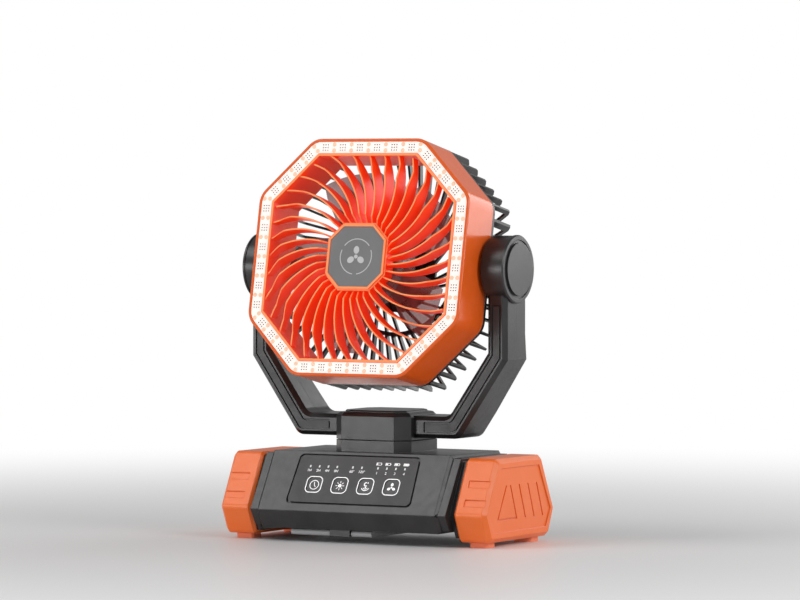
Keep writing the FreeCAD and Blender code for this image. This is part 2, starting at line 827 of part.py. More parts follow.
def swivel():
    bore = "spindle_radius + running_gap"
    tube = ring("bush_tube", "Z", "%s + bush_wall" % bore, bore, "bush_low", "neck_parting")
    flange = ring("bush_collar", "Z", "bush_flange - 2.2", bore, "neck_parting - 0.9", "neck_parting")
    part(fuse("bush", tube, flange), "swivel_bush")
    foot = "bush_low - washer_thick - 0.2"
    spindle = ring("spindle_tube", "Z", "spindle_radius", "swing_shaft_radius", foot, "block_top - 8")
    part(spindle, "swivel_spindle")
    part(ring("washer", "Z", "washer_radius", "spindle_radius + 0.05", foot, "bush_low - 0.1"),
         "spindle_washer")
    top = "swing_motor_top"
    motor = rod("swing_case", "Z", "swing_motor_radius", "%s - swing_motor_high" % top, top)
    ears = box("swing_ears", "-swing_motor_span - 3.5", "swing_motor_span + 3.5", "-3.5", "3.5",
               "%s - 1" % top, top)
    gland = box("swing_gland", "-7", "7", "0", "swing_motor_radius + 3",
                "%s - swing_motor_high + 1" % top, "%s - 2" % top)
    case = fuse("swing_solid", motor, ears, gland)
    well = rod("swing_well", "Z", "swing_shaft_radius + running_gap", "%s - 6" % top, "%s + 5" % top)
    part(cut("swing_body", case, well), "swing_motor")
    part(rod("swing_shaft", "Z", "swing_shaft_radius", "%s - 5.9" % top, "%s + 12" % top),
         "swing_motor_shaft")


def swivel_block():
    low = "neck_parting + neck_gap"
    solid = body("block_solid")
    pad(solid, TOP, [neck_outline()], low, "block_top")
    dress(solid, "Chamfer", "block_bevel", at_level(Z, value("block_top")))
    hollow = rod("block_hollow", "Z", "bush_flange + 8", "(%s) + 3" % low, "block_top - 8.1")
    socket = rod("block_socket", "Z", "spindle_radius + 0.02", "0", "block_top - 8")
    band = yoke_band("block_band", "0.1", "-100", "100")
    slot = box("block_slot", "-neck_half_width - 1", "neck_half_width + 1", "-yoke_front", "yoke_back_low",
               "yoke_bottom - 0.1", "block_top + 1")
    block = cut("block_whole", solid, hollow, socket, slot)
    part(block, "swivel_block")
    filler = common("block_filler", cut("block_over", solid, band), slot)
    cap = body("block_cap_solid")
    pad(cap, TOP, [both([("neck_half_width - neck_corner - 4", "neck_half_depth - block_bevel - 2"),
                         ("neck_half_width - block_bevel - 3", "neck_half_depth - neck_corner - 4"),
                         ("neck_half_width - block_bevel - 3", "-(neck_half_depth - neck_corner - 4)"),
                         ("neck_half_width - neck_corner - 4", "-(neck_half_depth - block_bevel - 2)")])],
        "block_top", "block_top + block_cap_high")
    dress(cap, "Chamfer", "block_cap_high * 0.6", at_level(Z, value("block_top + block_cap_high")))
    part(fuse("block_cap_whole", filler, cap), "swivel_block_cap")


# Yoke

LOW_TURN = "atan2(yoke_high_corner - yoke_bottom; yoke_reach - yoke_low_corner)"


def yoke_corners(inset):
    """The two corners of the yoke's outline on the + side, moved in by inset."""
    low = ("yoke_low_corner - (%s) * tan(%s / 2)" % (inset, LOW_TURN), "yoke_bottom + (%s)" % inset)
    high = ("yoke_reach - (%s)" % inset,
            "yoke_high_corner + (%s) * tan((90 deg - %s) / 2)" % (inset, LOW_TURN))
    return low, high


def yoke_outline(outer, inner, top, start):
    """Half of the band between two insets, from start on the crossbar up to top."""
    low_out, high_out = yoke_corners(outer)
    low_in, high_in = yoke_corners(inner)
    return [(start, low_out[1]), low_out, high_out, (high_out[0], top),
            (high_in[0], top), high_in, low_in, (start, low_in[1])]


def yoke_band(name, grow, front, back):
    """The whole U as a plain band between two depths."""
    solid = body(name)
    half = yoke_outline("-(%s)" % grow, "yoke_width + (%s)" % grow, "pivot_height", "0")
    right = half[1:-1]
    left = [("-(%s)" % x, y) for x, y in reversed(right)]
    pad(solid, FRONT, [right + left], front, back)
    return solid


def low_bend(edge):
    """A test for the edges across the yoke at its two lower corners."""
    level = value("yoke_bottom + yoke_width + 1")
    side = value("trim_start") + 1
    return along(Y)(edge) and all(end.Z < level and abs(end.X) > side for end in edge.Vertexes)


def yoke():
    solid = yoke_band("yoke_solid", "0", "-yoke_front", "yoke_back_low")
    dress(solid, "Fillet", "yoke_round", low_bend)
    wedge = [("yoke_back_top", "pivot_height + 1"), ("yoke_back_top", "yoke_high_corner + 20"),
             ("yoke_back_low", "yoke_bottom + 20"), ("yoke_back_low + 10", "yoke_bottom + 20"),
             ("yoke_back_low + 10", "pivot_height + 1")]
    pocket(solid, SIDE, [wedge], "-yoke_reach - 1", "yoke_reach + 1")
    dress(solid, "Chamfer", "yoke_bevel", at_level(Y, -value("yoke_front")))
    inner = "yoke_reach - yoke_width"
    drums = [rod("drum_%d" % k, "X", "drum_radius", low, high, z="pivot_height")
             for k, (low, high) in enumerate(((inner, "yoke_reach"), ("-yoke_reach", "-(%s)" % inner)))]
    bores = [rod("bolt_bore", "X", "bolt_radius + fit_gap", "-200", "200", z="pivot_height"),
             rod("head_bore_0", "X", "bolt_head_radius + fit_gap", "yoke_reach - bolt_head_high - 0.3",
                 "200", z="pivot_height"),
             rod("head_bore_1", "X", "bolt_head_radius + fit_gap", "-200",
                 "-(yoke_reach - bolt_head_high - 0.3)", z="pivot_height"),
             rod("neck_bore", "Z", "spindle_radius + 0.02", "0", "block_top - 8")]
    grooves = []
    gap = "(yoke_width - trim_groove) / 2"
    for k, side in enumerate((1, -1)):
        groove = body("trim_groove_%d" % k)
        shape = yoke_outline(gap, "yoke_width - %s" % gap, "trim_end + 1", "trim_start - 1")
        pad(groove, FRONT, [[("%d * (%s)" % (side, x), y) for x, y in shape]],
            "-yoke_front - 1", "-yoke_front + trim_depth")
        dress(groove, "Fillet", "trim_round", low_bend)
        grooves.append(groove)
    wells = [rod("yoke_screw_well_%d" % k, "Y", "screw_radius + fit_gap", "-9", "40", x=x, z=z)
             for k, (x, z) in enumerate(yoke_screw_places())]
    wells += [rod("yoke_head_well_%d" % k, "Y", "screw_head_radius + fit_gap", "yoke_seam_screw - 1.6",
                  "40", x=x, z=z) for k, (x, z) in enumerate(yoke_screw_places())]
    whole = cut("yoke_cut", fuse("yoke_whole", solid, *drums), *bores, *grooves, *wells)
    front = box("front_half", "-200", "200", "-60", "0", "0", "300")
    back = box("back_half", "-200", "200", "0", "60", "0", "300")
    part(common("yoke_front", whole, front), "yoke_front_shell")
    part(common("yoke_back", whole, back), "yoke_rear_shell")
    strip = "(yoke_width - trim_width) / 2"
    for side, name in ((1, "right"), (-1, "left")):
        trim = body("trim_" + name)
        shape = yoke_outline(strip, "yoke_width - %s" % strip, "trim_end", "trim_start")
        pad(trim, FRONT, [[("%d * (%s)" % (side, x), y) for x, y in shape]],
            "-yoke_front", "-yoke_front + trim_depth")
        dress(trim, "Fillet", "trim_round", low_bend)
        part(trim, "yoke_trim_" + name)


def pivots():
    inner = "yoke_reach - yoke_width"
    disc = ring("disc_right", "X", "disc_radius", "bolt_radius + fit_gap", "head_half + 0.2",
                "%s - 0.2" % inner, z="pivot_height")
    part(disc, "friction_disc_right")
    part(mirrored("disc_left", disc), "friction_disc_left")
    shank = rod("bolt_shank", "X", "bolt_radius", "lug_inner + 2", "yoke_reach - 1", z="pivot_height")
    head = rod("bolt_head", "X", "bolt_head_radius", "yoke_reach - bolt_head_high", "yoke_reach - 0.1",
               z="pivot_height")
    bolt = fuse("bolt_right", shank, head)
    part(bolt, "pivot_bolt_right")
    part(mirrored("bolt_left", bolt), "pivot_bolt_left")
    flange = rod("knob_flange", "X", "knob_radius", "yoke_reach", "yoke_reach + knob_thick",
                 z="pivot_height")
    face = rod("knob_face", "X", "knob_face_radius", "yoke_reach + knob_thick - 1",
               "yoke_reach + knob_thick + knob_face_high", z="pivot_height")
    rim = ring("knob_rim", "X", "knob_face_radius + 2.2", "knob_face_radius",
               "yoke_reach + knob_thick - 0.7", "yoke_reach + knob_thick + 2", z="pivot_height")
    soft = new("Part::Chamfer", "knob_soft")
    whole = fuse("knob_whole", cut("knob_stepped", flange, rim), face)
    soft.Base = whole
    doc.recompute()
    bevel = value("knob_bevel")
    soft.Edges = [(k + 1, bevel, bevel) for k, edge in enumerate(whole.Shape.Edges)
                  if isinstance(edge.Curve, Part.Circle)
                  and edge.Curve.Radius > value("knob_radius") - 0.01
                  and edge.BoundBox.XMax > value("yoke_reach + knob_thick") - 0.1]
    part(soft, "pivot_cap_right")
    part(mirrored("knob_left", soft), "pivot_cap_left")


def yoke_screw_places():
    arm = "yoke_reach - yoke_width / 2"
    bar = "yoke_bottom + yoke_width / 2"
    return [("yoke_low_corner - 14", bar), ("14 - yoke_low_corner", bar),
            (arm, "yoke_high_corner + 12"), ("-(%s)" % arm, "yoke_high_corner + 12")]


def yoke_screws():
    items = []
    for k, (x, z) in enumerate(yoke_screw_places()):
        head = rod("yoke_screw_head_%d" % k, "Y", "screw_head_radius", "yoke_seam_screw - 1.5",
                   "yoke_seam_screw", x=x, z=z)
        thread = rod("yoke_screw_%d" % k, "Y", "screw_radius", "-8", "yoke_seam_screw - 1", x=x, z=z)
        items.append(fuse("yoke_screw_whole_%d" % k, head, thread))
    part(together("yoke_screw_group", *items), "yoke_screws")


# Head casing


def head_prism(name, grow, front, back, corner=None):
    solid = body(name)
    pad(solid, FRONT, [eight("head_half", "head_side", grow)], front, back)
    if corner:
        dress(solid, "Fillet", corner, along(Y))
    return solid


def rim_prism(name, grow, front, back):
    solid = body(name)
    pad(solid, FRONT, [eight("rim_half", "rim_side", grow)], front, back)
    return solid


def shroud():
    outer = head_prism("shroud_outer", "0", "-head_front", "-head_parting", "head_corner")
    dress(outer, "Chamfer", "0.8", at_level(Y, -value("head_front")))
    channel = head_prism("shroud_channel", "-head_wall", "-head_front - 1",
                         "-head_front + channel_depth", "head_corner - head_wall")
    rear = head_prism("shroud_rear", "-head_wall", "-head_front + channel_depth + channel_floor",
                      "0", "head_corner - head_wall")
    hole = rim_prism("shroud_hole", "rim_wall + fit_gap", "-head_front - 2", "0")
    part(on_head(cut("shroud_whole", outer, channel, rear, hole)), "front_shroud")


def lamps():
    floor = "-head_front + channel_depth"
    board = head_prism("lamp_board_outer", "-head_wall - fit_gap", "%s - lamp_board_thick" % floor,
                       floor, "head_corner - head_wall")
    inner = rim_prism("lamp_board_inner", "rim_wall + 2 * fit_gap", "-60", "0")
    part(on_head(cut("lamp_board_whole", board, inner)), "lamp_board")
    middle = "(head_half - head_wall + rim_half + rim_wall) / 2"
    side = "(head_side + rim_side) / 2"
    top = "%s - lamp_board_thick" % floor
    chips = []
    count = int(value("chip_count"))
    for turn in range(4):
        for k in range(count):
            along_side = "((%d + 0.5) / chip_count * 2 - 1) * %s" % (k, side)
            chips.append(chip("chip_%d_%d" % (turn, k), along_side, middle, top, turn * 90))
        for k in range(4):
            share = (k + 0.7) / 4.4
            x = "%s + (%s - (%s)) * %.4f" % (side, middle, side, share)
            z = "%s + (%s - (%s)) * %.4f" % (side, middle, side, 1 - share)
            chips.append(chip("corner_chip_%d_%d" % (turn, k), x, z, top, turn * 90))
    part(on_head(together("chips", *chips)), "lamp_chips")
    plate = head_prism("diffuser_outer", "-head_wall - fit_gap", "-head_front + diffuser_sink",
                       "%s - lamp_board_thick" % floor, "head_corner - head_wall")
    hole = rim_prism("diffuser_inner", "rim_wall + 2 * fit_gap", "-60", "0")
    cove = head_prism("cove_outer", "-head_wall - fit_gap - 1.2",
                      "-head_front + diffuser_sink + diffuser_thick", "0", "head_corner - head_wall - 1")
    island = rim_prism("cove_inner", "rim_wall + 2 * fit_gap + 1.2", "-60", "5")
    cove_ring = cut("cove", cove, island)
    part(on_head(cut("diffuser_whole", plate, hole, cove_ring)), "lamp_diffuser")


def chip(name, x, z, back, turn):
    """A small square lamp that faces forward, turned about the head's middle."""
    item = new("Part::Box", name)
    fields(item, Length="chip_size", Width="chip_high", Height="chip_size")
    angle = math.radians(turn)
    c, s = round(math.cos(angle)), round(math.sin(angle))
    place(item, "%d * (%s) - %d * (%s) - chip_size / 2" % (c, x, s, z), "%s - chip_high" % back,
          "%d * (%s) + %d * (%s) - chip_size / 2" % (s, x, c, z))
    return item


def dome_profile():
    """Half of the space that the front vanes fill: radius and depth from the pivot."""
    return [("0", "-vane_root_front"), ("hub_half + 3", "-vane_root_front"),
            ("dome_inner", "-vane_dome_front"), ("dome_outer", "-vane_dome_front"),
            ("rim_half - 1", "-vane_tip_front"), ("rim_half + 30", "-vane_tip_front"),
            ("rim_half + 30", "-vane_back"), ("0", "-vane_back")]


def revolved(name, points):
    """A body turned about the head's axis from radius and depth pairs."""
    solid = body(name)
    item = sketch(solid, TOP, "0")
    draw_polygon(item, points)
    feature = solid.newObject("PartDesign::Revolution", name + "_turn")
    feature.Profile = item
    feature.ReferenceAxis = (item, ["V_Axis"])
    feature.Angle = 360
    solid.Tip = feature
    doc.recompute()
    return solid


def vane_sketch(solid):
    """One vane seen from the front: a band between two arcs about one centre."""
    item = sketch(solid, FRONT, "vane_back")
    bind(item, ".AttachmentOffset.Rotation.Angle", "vane_phase")
    start, heading = value("vane_start"), math.radians(value("vane_heading"))
    middle, half = value("vane_radius"), value("vane_thick") / 2
    centre = Vector(start - middle * math.sin(heading), middle * math.cos(heading), 0)
    first = math.radians(-90) + heading
    last = first + math.radians(62)
    for radius in (middle - half, middle + half):
        circle = Part.Circle(centre, Vector(0, 0, 1), radius)
        item.addGeometry(Part.ArcOfCircle(circle, first, last), False)
    for angle in (first, last):
        ends = [centre + Vector(math.cos(angle), math.sin(angle), 0) * radius
                for radius in (middle - half, middle + half)]
        item.addGeometry(Part.LineSegment(ends[0], ends[1]), False)
    for line, end in ((2, 1), (3, 2)):
        item.addConstraint(Sketcher.Constraint("Coincident", line, 1, 0, end))
        item.addConstraint(Sketcher.Constraint("Coincident", line, 2, 1, end))
    item.addConstraint(Sketcher.Constraint("Coincident", 0, 3, 1, 3))
    pin_point(item, 0, 3, "vane_start - vane_radius * sin(vane_heading)",
              "vane_radius * cos(vane_heading)")
    for arc, text in ((0, "vane_radius - vane_thick / 2"), (1, "vane_radius + vane_thick / 2")):
        index = item.addConstraint(Sketcher.Constraint("Radius", arc, value(text)))
        bind(item, "Constraints[%d]" % index, text)
    return item


def front_grille():
    vanes = body("vane_bodies")
    item = vane_sketch(vanes)
    feature = vanes.newObject("PartDesign::Pad", "vane_pad")
    feature.Profile = item
    bind(feature, "Length", "vane_dome_front + 2 - vane_back")
    vanes.Tip = feature
    doc.recompute()
    pattern(vanes, [feature], "Y_Axis", "vane_count")
    dome = revolved("vane_space", dome_profile())
    duct_inner = rim_prism("duct_inside", "0.5", "-60", "0")
    cut_vanes = common("vane_group", vanes, dome, duct_inner)
    wall = rim_prism("duct_wall", "rim_wall", "-head_front", "-head_parting")
    bore = rim_prism("duct_bore", "0", "-60", "0")
    hub = body("hub_block")
    pad(hub, FRONT, [eight("hub_half", "hub_side", "3")], "-hub_front + 1.5", "-hub_front + hub_depth")
    pad(hub, FRONT, [eight("hub_half", "hub_side", "1.8")], "-hub_front", "-hub_front + 2")
    pocket(hub, FRONT, [eight("hub_half", "hub_side")], "-hub_front - 1",
           "-hub_front + badge_sink + badge_thick")
    pocket(hub, FRONT, [eight("hub_half", "hub_side")], "-hub_front + badge_sink + badge_thick + 2",
           "-hub_front + hub_depth + 1")
    whole = fuse("grille_whole", cut("duct", wall, bore), hub, cut_vanes)
    part(on_head(whole), "front_grille")
    badge = body("badge_plate")
    pad(badge, FRONT, [eight("hub_half", "hub_side", "-fit_gap")], "-hub_front + badge_sink",
        "-hub_front + badge_sink + badge_thick")
    part(on_head(badge), "hub_badge")


def rear_grille():
    back = "grille_depth - head_parting"
    fin = body("fin_bodies")
    step = "360 / fin_count"
    reach = "head_half + 20"
    near = "ring_radius - 2"
    first = pad(fin, FRONT, [[("fin_skew - fin_thick / 2", near), ("fin_skew + fin_thick / 2", near),
                              ("fin_skew + fin_thick / 2", reach), ("fin_skew - fin_thick / 2", reach)]],
                "-head_parting", back)
    pattern(fin, [first], "Y_Axis", "fin_count")
    spoke = body("spoke_bodies")
    first = pad(spoke, FRONT, [[("fin_skew - fin_thick / 2", "rear_plate_radius - 14"),
                                ("fin_skew + fin_thick / 2", "rear_plate_radius - 14"),
                                ("fin_skew + fin_thick / 2", "ring_radius"),
                                ("fin_skew - fin_thick / 2", "ring_radius")]],
                "%s - fin_leg + 1" % back, "%s - 0.6" % back)
    pattern(spoke, [first], "Y_Axis", "fin_count / 2")
    cage = head_prism("cage_outer", "0", "-head_parting", back, "head_corner")
    dress(cage, "Chamfer", "fin_corner", at_level(Y, value(back)))
    inside = head_prism("cage_inside", "-fin_leg", "-head_parting - 1", "%s - fin_leg" % back)
    fins = common("fins_trimmed", fin, cut("cage_wall", cage, inside))
    frame = cut("frame_ring", head_prism("frame_outer", "0", "-head_parting",
                                         "-head_parting + frame_depth", "head_corner"),
                rim_prism("frame_inner", "rim_wall + 3", "-20", "10"))
    hoop = ring("hoop", "Y", "ring_radius + ring_width / 2", "ring_radius - ring_width / 2",
                "%s - fin_leg" % back, "%s - 0.8" % back)
    plate = rod("rear_plate", "Y", "rear_plate_radius", "%s - rear_plate_thick" % back, back)
    seat = rod("motor_seat", "Y", "rear_plate_radius - 8", "motor_back", back)
    seat.Label = "motor_seat"
    bind(seat, "Height", "rear_plate_thick + 8")
    bind(seat, ".Placement.Base.y", "%s - rear_plate_thick - 8" % back)
    lugs = []
    for side in (1, -1):
        low, high = ("lug_inner", "head_half") if side == 1 else ("-head_half", "-lug_inner")
        wheel = rod("lug_wheel_%d" % (side + 1), "X", "lug_radius", low, high)
        clip = box("lug_clip_%d" % (side + 1), "-200", "200", "-head_parting", "60", "-60", "60")
        lugs.append(common("lug_%d" % (side + 1), wheel, clip))
    holes = rod("lug_holes", "X", "bolt_radius + running_gap", "-200", "200")
    pins = [rod("motor_screw_hole_%d" % k, "Y", "screw_radius + 0.1", "-20", "60", x=x)
            for k, x in enumerate(("10", "-10"))]
    whole = fuse("cage_whole", fins, spoke, frame, hoop, plate, seat, *lugs)
    part(on_head(cut("cage_final", whole, holes, *pins)), "rear_grille")
    part(on_head(together("head_screw_group", *head_screws(back))), "motor_screws")


def head_screws(back):
    items = []
    for k, x in enumerate(("10", "-10")):
        head = rod("motor_screw_head_%d" % k, "Y", "screw_head_radius", back, "%s + 1.4" % back, x=x)
        thread = rod("motor_screw_%d" % k, "Y", "screw_radius", "%s - 13" % back, "%s + 0.2" % back, x=x)
        items.append(fuse("motor_screw_whole_%d" % k, head, thread))
    return items


def motor_and_rotor():
    back = "grille_depth - head_parting - rear_plate_thick - 8"
    case = rod("motor_case", "Y", "motor_radius", "-motor_front + 6", back)
    nose = rod("motor_nose", "Y", "5", "-motor_front + 4.5", "-motor_front + 7")
    well = rod("motor_well", "Y", "shaft_radius + running_gap", "-60", "%s - 3" % back)
    bites = [rod("motor_bite_%d" % k, "Y", "screw_radius", "%s - 3" % back, "60", x=x)
             for k, x in enumerate(("10", "-10"))]
    part(on_head(cut("motor_body", fuse("motor_solid", case, nose), well, *bites)), "fan_motor")
    part(on_head(rod("shaft_bar", "Y", "shaft_radius", "-rotor_hub_front - 1.5", "%s - 3.5" % back)),
         "motor_shaft")
    front = "-rotor_hub_front"
    profile = [("shaft_radius", front), ("rotor_hub_radius - 4", front),
               ("rotor_hub_radius", "%s + 4" % front), ("rotor_hub_radius", "-blade_back + 2"),
               ("rotor_hub_radius - rotor_hub_wall", "-blade_back + 2"),
               ("rotor_hub_radius - rotor_hub_wall", "%s + 5" % front),
               ("8", "%s + 3" % front), ("5", "-motor_front + 3.5"), ("shaft_radius", "-motor_front + 3.5")]
    hub = revolved("rotor_hub", profile)
    part(on_head(fuse("rotor_whole", hub, blades())), "fan_rotor")
    nut = ring("nut_blank", "Y", "nut_radius", "shaft_radius", "%s - nut_high" % front, front)
    part(on_head(nut), "blade_nut")


def blades():
    """Five pitched blades: a bent plate run outwards, cut to the outline of a blade."""
    skin = body("blade_skin")
    half, rise = "blade_width / 2", "(blade_front - blade_back) / 2"
    middle = "-(blade_front + blade_back) / 2"
    line = [("-(%s)" % half, "%s - %s" % (middle, rise)),
            ("-(%s) * 0.35" % half, "%s - %s * 0.35 - blade_bow" % (middle, rise)),
            ("(%s) * 0.35" % half, "%s + %s * 0.35 - blade_bow" % (middle, rise)),
            (half, "%s + %s" % (middle, rise))]
    rear = [(x, "%s + blade_thick" % y) for x, y in reversed(line)]
    first = pad(skin, TOP, [line + rear], "rotor_hub_radius - rotor_hub_wall", "blade_tip + 5")
    pattern(skin, [first], "Y_Axis", "blade_count")
    shape = body("blade_shape")
    top = "blade_tip + 5"
    first = pad(shape, FRONT, [[("-blade_root / 2 - 3", "rotor_hub_radius - rotor_hub_wall"),
                                ("blade_root / 2 - 3", "rotor_hub_radius - rotor_hub_wall"),
                                ("blade_width / 2 - 1", "blade_tip * 0.62"),
                                ("blade_width / 2 - 1", "blade_tip * 0.9"),
                                ("blade_width / 2 - 9", top), ("-blade_width / 2 + 1", top),
                                ("-blade_width / 2 + 1", "blade_tip * 0.8"),
                                ("-blade_root / 2 - 6", "blade_tip * 0.55")]],
                "-blade_front - 20", "-blade_back + 20")
    pattern(shape, [first], "Y_Axis", "blade_count")
    swept = common("blade_group", skin, shape, rod("blade_circle", "Y", "blade_tip", "-60", "10"))
    swept.Placement = Placement(Vector(), Rotation(-Y, 0))
    bind(swept, ".Placement.Rotation.Angle", "blade_phase - 18")
    return swept


def build():
    base_upper()
    base_lower()
    end_caps()
    feet()
    control_panel()
    buttons()
    electronics()
    sockets()
    base_screws()
    hanging_loop()
    swivel()
    swivel_block()
    yoke()
    yoke_screws()
    pivots()
    shroud()
    lamps()
    front_grille()
    rear_grille()
    motor_and_rotor()


def check():
    """Stop before anything is written if a feature failed."""
    doc.recompute()
    for item in doc.Objects:
        if "Invalid" in item.State or "Error" in item.State:
            raise RuntimeError("%s (%s) is %s" % (item.Name, item.Label, item.State))
    for name, item in SUB_PARTS.items():
        if item.Shape.isNull() or not item.Shape.isValid() or not item.Shape.Solids:
            raise RuntimeError("%s has no valid solid" % name)


def export():
    os.makedirs("parts", exist_ok=True)
    for name, item in SUB_PARTS.items():
        item.Shape.exportStep("parts/%s.step" % name)


build()
check()
export()
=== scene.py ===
import json
import math

import bmesh
import bpy
from bpy.props import FloatProperty, FloatVectorProperty, IntProperty, PointerProperty
from mathutils import Matrix, Vector


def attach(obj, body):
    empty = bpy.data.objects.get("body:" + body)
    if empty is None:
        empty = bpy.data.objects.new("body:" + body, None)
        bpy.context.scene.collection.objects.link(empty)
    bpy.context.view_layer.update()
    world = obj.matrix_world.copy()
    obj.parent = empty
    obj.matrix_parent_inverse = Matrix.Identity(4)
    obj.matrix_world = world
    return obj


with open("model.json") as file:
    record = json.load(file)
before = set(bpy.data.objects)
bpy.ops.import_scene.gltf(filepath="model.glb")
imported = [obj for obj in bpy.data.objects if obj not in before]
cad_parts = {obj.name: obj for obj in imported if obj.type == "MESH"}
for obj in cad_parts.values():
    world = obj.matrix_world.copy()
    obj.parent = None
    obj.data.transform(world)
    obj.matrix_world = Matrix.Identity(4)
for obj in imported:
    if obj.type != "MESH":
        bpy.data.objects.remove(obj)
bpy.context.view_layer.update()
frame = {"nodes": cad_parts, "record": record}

bl_info = {
    "name": "Camping Fan Dresser",
    "version": (1, 0, 0),
    "blender": (4, 5, 0),
    "location": "View3D > Sidebar > Fan",
    "description": "Finishes a camping fan: moulded casings, lamp ring, key marks and studio",
    "category": "Object",
}

# Places are in millimetres until a finished mesh is scaled to metres.

MM = 0.001
PIVOT_HEIGHT = 212.35
HEAD_TILT = 11.2
HEAD_FRONT = -47.2
LENS_SINK = 0.5
HUB_FRONT = -50.2
BADGE_SINK = 0.4
LAMP_MIDDLE = 86.65
LAMP_SIDE = 45.95
PANEL_DEPTH = -65.9
PANEL_HEIGHT = 24.8
PANEL_TOP_DEPTH = -39.8
PANEL_TOP_HEIGHT = 69.7
PANEL_SLOPE = math.degrees(math.atan2(PANEL_TOP_HEIGHT - PANEL_HEIGHT, PANEL_TOP_DEPTH - PANEL_DEPTH))
PANEL_FACE = 0.2
KEY_LEVEL = 23.1
KEY_FACE = -0.5
KEY_PITCH = 22.9
KEY_NAMES = ("timer", "light", "swing", "speed")
KEY_RING_CORNER = 4.2
MERGE_DISTANCE = 1e-5
BAND_STEP_DEGREES = 10
BAND_LEAST_STEPS = 6

# The panel's print: each text with its place across, and each row's level up the slope

PANEL_WORDS = (("1H", -41.9), ("2H", -33.8), ("4H", -26.0), ("8H", -17.9), ("60°", -3.9), ("120°", 4.8))
PANEL_DIGITS = (("1", 18.3), ("2", 26.3), ("3", 34.2), ("4", 42.3))
WORD_LEVEL = 35.2
DIGIT_LEVEL = 34.6
BATTERY_LEVEL = 42.6
BATTERY_WIDTH = 4.6
BATTERY_HEIGHT = 2.2
BATTERY_LINE = 0.35
BATTERY_TIP_WIDTH = 0.4
BATTERY_TIP_HEIGHT = 0.9

# The lamp ring, its light painted on the vanes as a weak glow, and the badge

RING_QUARTERS = 4
CORNER_LAMPS = 4
CORNER_START = 0.7
CORNER_SPAN = 4.4
DOT_HEIGHT = 0.1
DOT_SIDES = 8
HALO_RADIUS = 1.8
HALO_HEIGHT = 0.04
HALO_SIDES = 16
HALO_OFFSET = 2.4
# Strength of the vanes' painted glow, which stands in for the lamp ring's light in the plastic
VANE_PAINTED_GLOW = 0.13
BADGE_INK = 0.12
BADGE_MARK_SCALE = 2.1
BADGE_RING_OUTER = 14.2
BADGE_RING_INNER = 13.5
BADGE_RING_START = 38
BADGE_RING_SWEEP = 104

# The camera: the photograph's width in pixels, the sensor in millimetres, the reach in metres

PHOTO_WIDTH = 800
SENSOR_WIDTH = 36
CAMERA_REACH = 50

# The floor, with its lengths in metres from the middle, and the room's light

FLOOR_HALF = 12
FLOOR_FADE_START = 0.22
FLOOR_FADE_END = 1.3
FLOOR_GREY = 0.84
FLOOR_ROUGHNESS = 0.45
WORLD_LEVEL = 0.4

# The soft lamps: place, aim and size in metres, and power in watts

SOFT_LAMPS = {
    "front": ((-1.02, -1.83, 0.17), (0, 0, 0.17), (0.66, 0.62), 10),
    "high": ((-1.1, -1.15, 1.75), (0, 0, 0.1), (1.1, 1.1), 13),
    "right": ((1.9, -0.5, 1.0), (0, 0, 0.1), (0.9, 0.9), 12),
    "side": ((0.78, 1.36, 0.62), (0, 0, 0.62), (1.3, 0.84), 9),
}


def linear(code):
    """A colour in the renderer's own numbers from its screen value."""
    channels = [int(code[k:k + 2], 16) / 255 for k in (1, 3, 5)]
    return [c / 12.92 if c <= 0.04045 else ((c + 0.055) / 1.055) ** 2.4 for c in channels]


def colour_property(label, code):
    """A colour setting with its default from a screen value."""
    return FloatVectorProperty(name=label, description=label + " of the fan", default=linear(code),
                               size=3, min=0.0, max=1.0, subtype="COLOR")


class FanColours(bpy.types.PropertyGroup):
    shroud: colour_property("Shroud orange", "#F2641A")
    vane: colour_property("Vane red", "#FF4A12")
    # A painted highlight: the paler orange given to vane faces turned forward, standing in for light
    # caught on the vanes' front edges
    vane_painted_highlight: colour_property("Vane painted highlight", "#FF9A62")
    cap: colour_property("End cap orange", "#FA7426")
    casing: colour_property("Casing black", "#1F1F20")
    grille: colour_property("Rear grille black", "#19191A")
    panel: colour_property("Panel grey", "#3E3E40")
    trim: colour_property("Inlay grey", "#2B2B2C")
    badge: colour_property("Badge grey", "#767677")
    mark: colour_property("Printed mark", "#F4F4F4")
    blade: colour_property("Blade smoke", "#8C8382")


class FanSizes(bpy.types.PropertyGroup):
    key_ring: FloatProperty(name="Key ring", description="Width across the lit ring round a key",
                            default=14.3, min=13.0, max=15.0)
    key_ring_width: FloatProperty(name="Key ring width", description="Width of the ring's line",
                                  default=0.75, min=0.2, max=1.2)
    mark_height: FloatProperty(name="Mark height", description="Thickness of a printed mark",
                               default=0.06, min=0.01, max=0.3)
    digit_size: FloatProperty(name="Digit size", description="Height of the printed numbers",
                              default=3.1, min=1.0, max=5.0)
    dot_size: FloatProperty(name="Lens dot", description="Radius of a dot in the lamp lens",
                            default=0.5, min=0.1, max=1.0)
    dot_pitch: FloatProperty(name="Dot pitch", description="Distance between the dots of a lens",
                             default=2.15, min=0.8, max=4.0)
    lamp_count: IntProperty(name="Lamps on a side", description="Lamps behind each straight side",
                            default=6, min=2, max=12)


class StageSizes(bpy.types.PropertyGroup):
    camera_distance: FloatProperty(name="Camera distance", description="From the fan's axis",
                                   default=3.5985, min=0.5, max=10.0, unit="LENGTH")
    camera_height: FloatProperty(name="Aim height", description="Height that the camera aims at",
                                 default=0.18726, min=0.0, max=1.0, unit="LENGTH")
    camera_side: FloatProperty(name="Aim side", description="Sideways offset of the aim",
                               default=0.01031, min=-0.5, max=0.5, unit="LENGTH")
    camera_yaw: FloatProperty(name="Camera yaw", description="Turn round the fan",
                              default=math.radians(29.166), subtype="ANGLE")
    camera_pitch: FloatProperty(name="Camera pitch", description="Look down from the level",
                                default=math.radians(1.511), subtype="ANGLE")
    focal_pixels: FloatProperty(name="Focal length", description="In pixels of the photograph",
                                default=4600.0, min=100.0)


# Materials


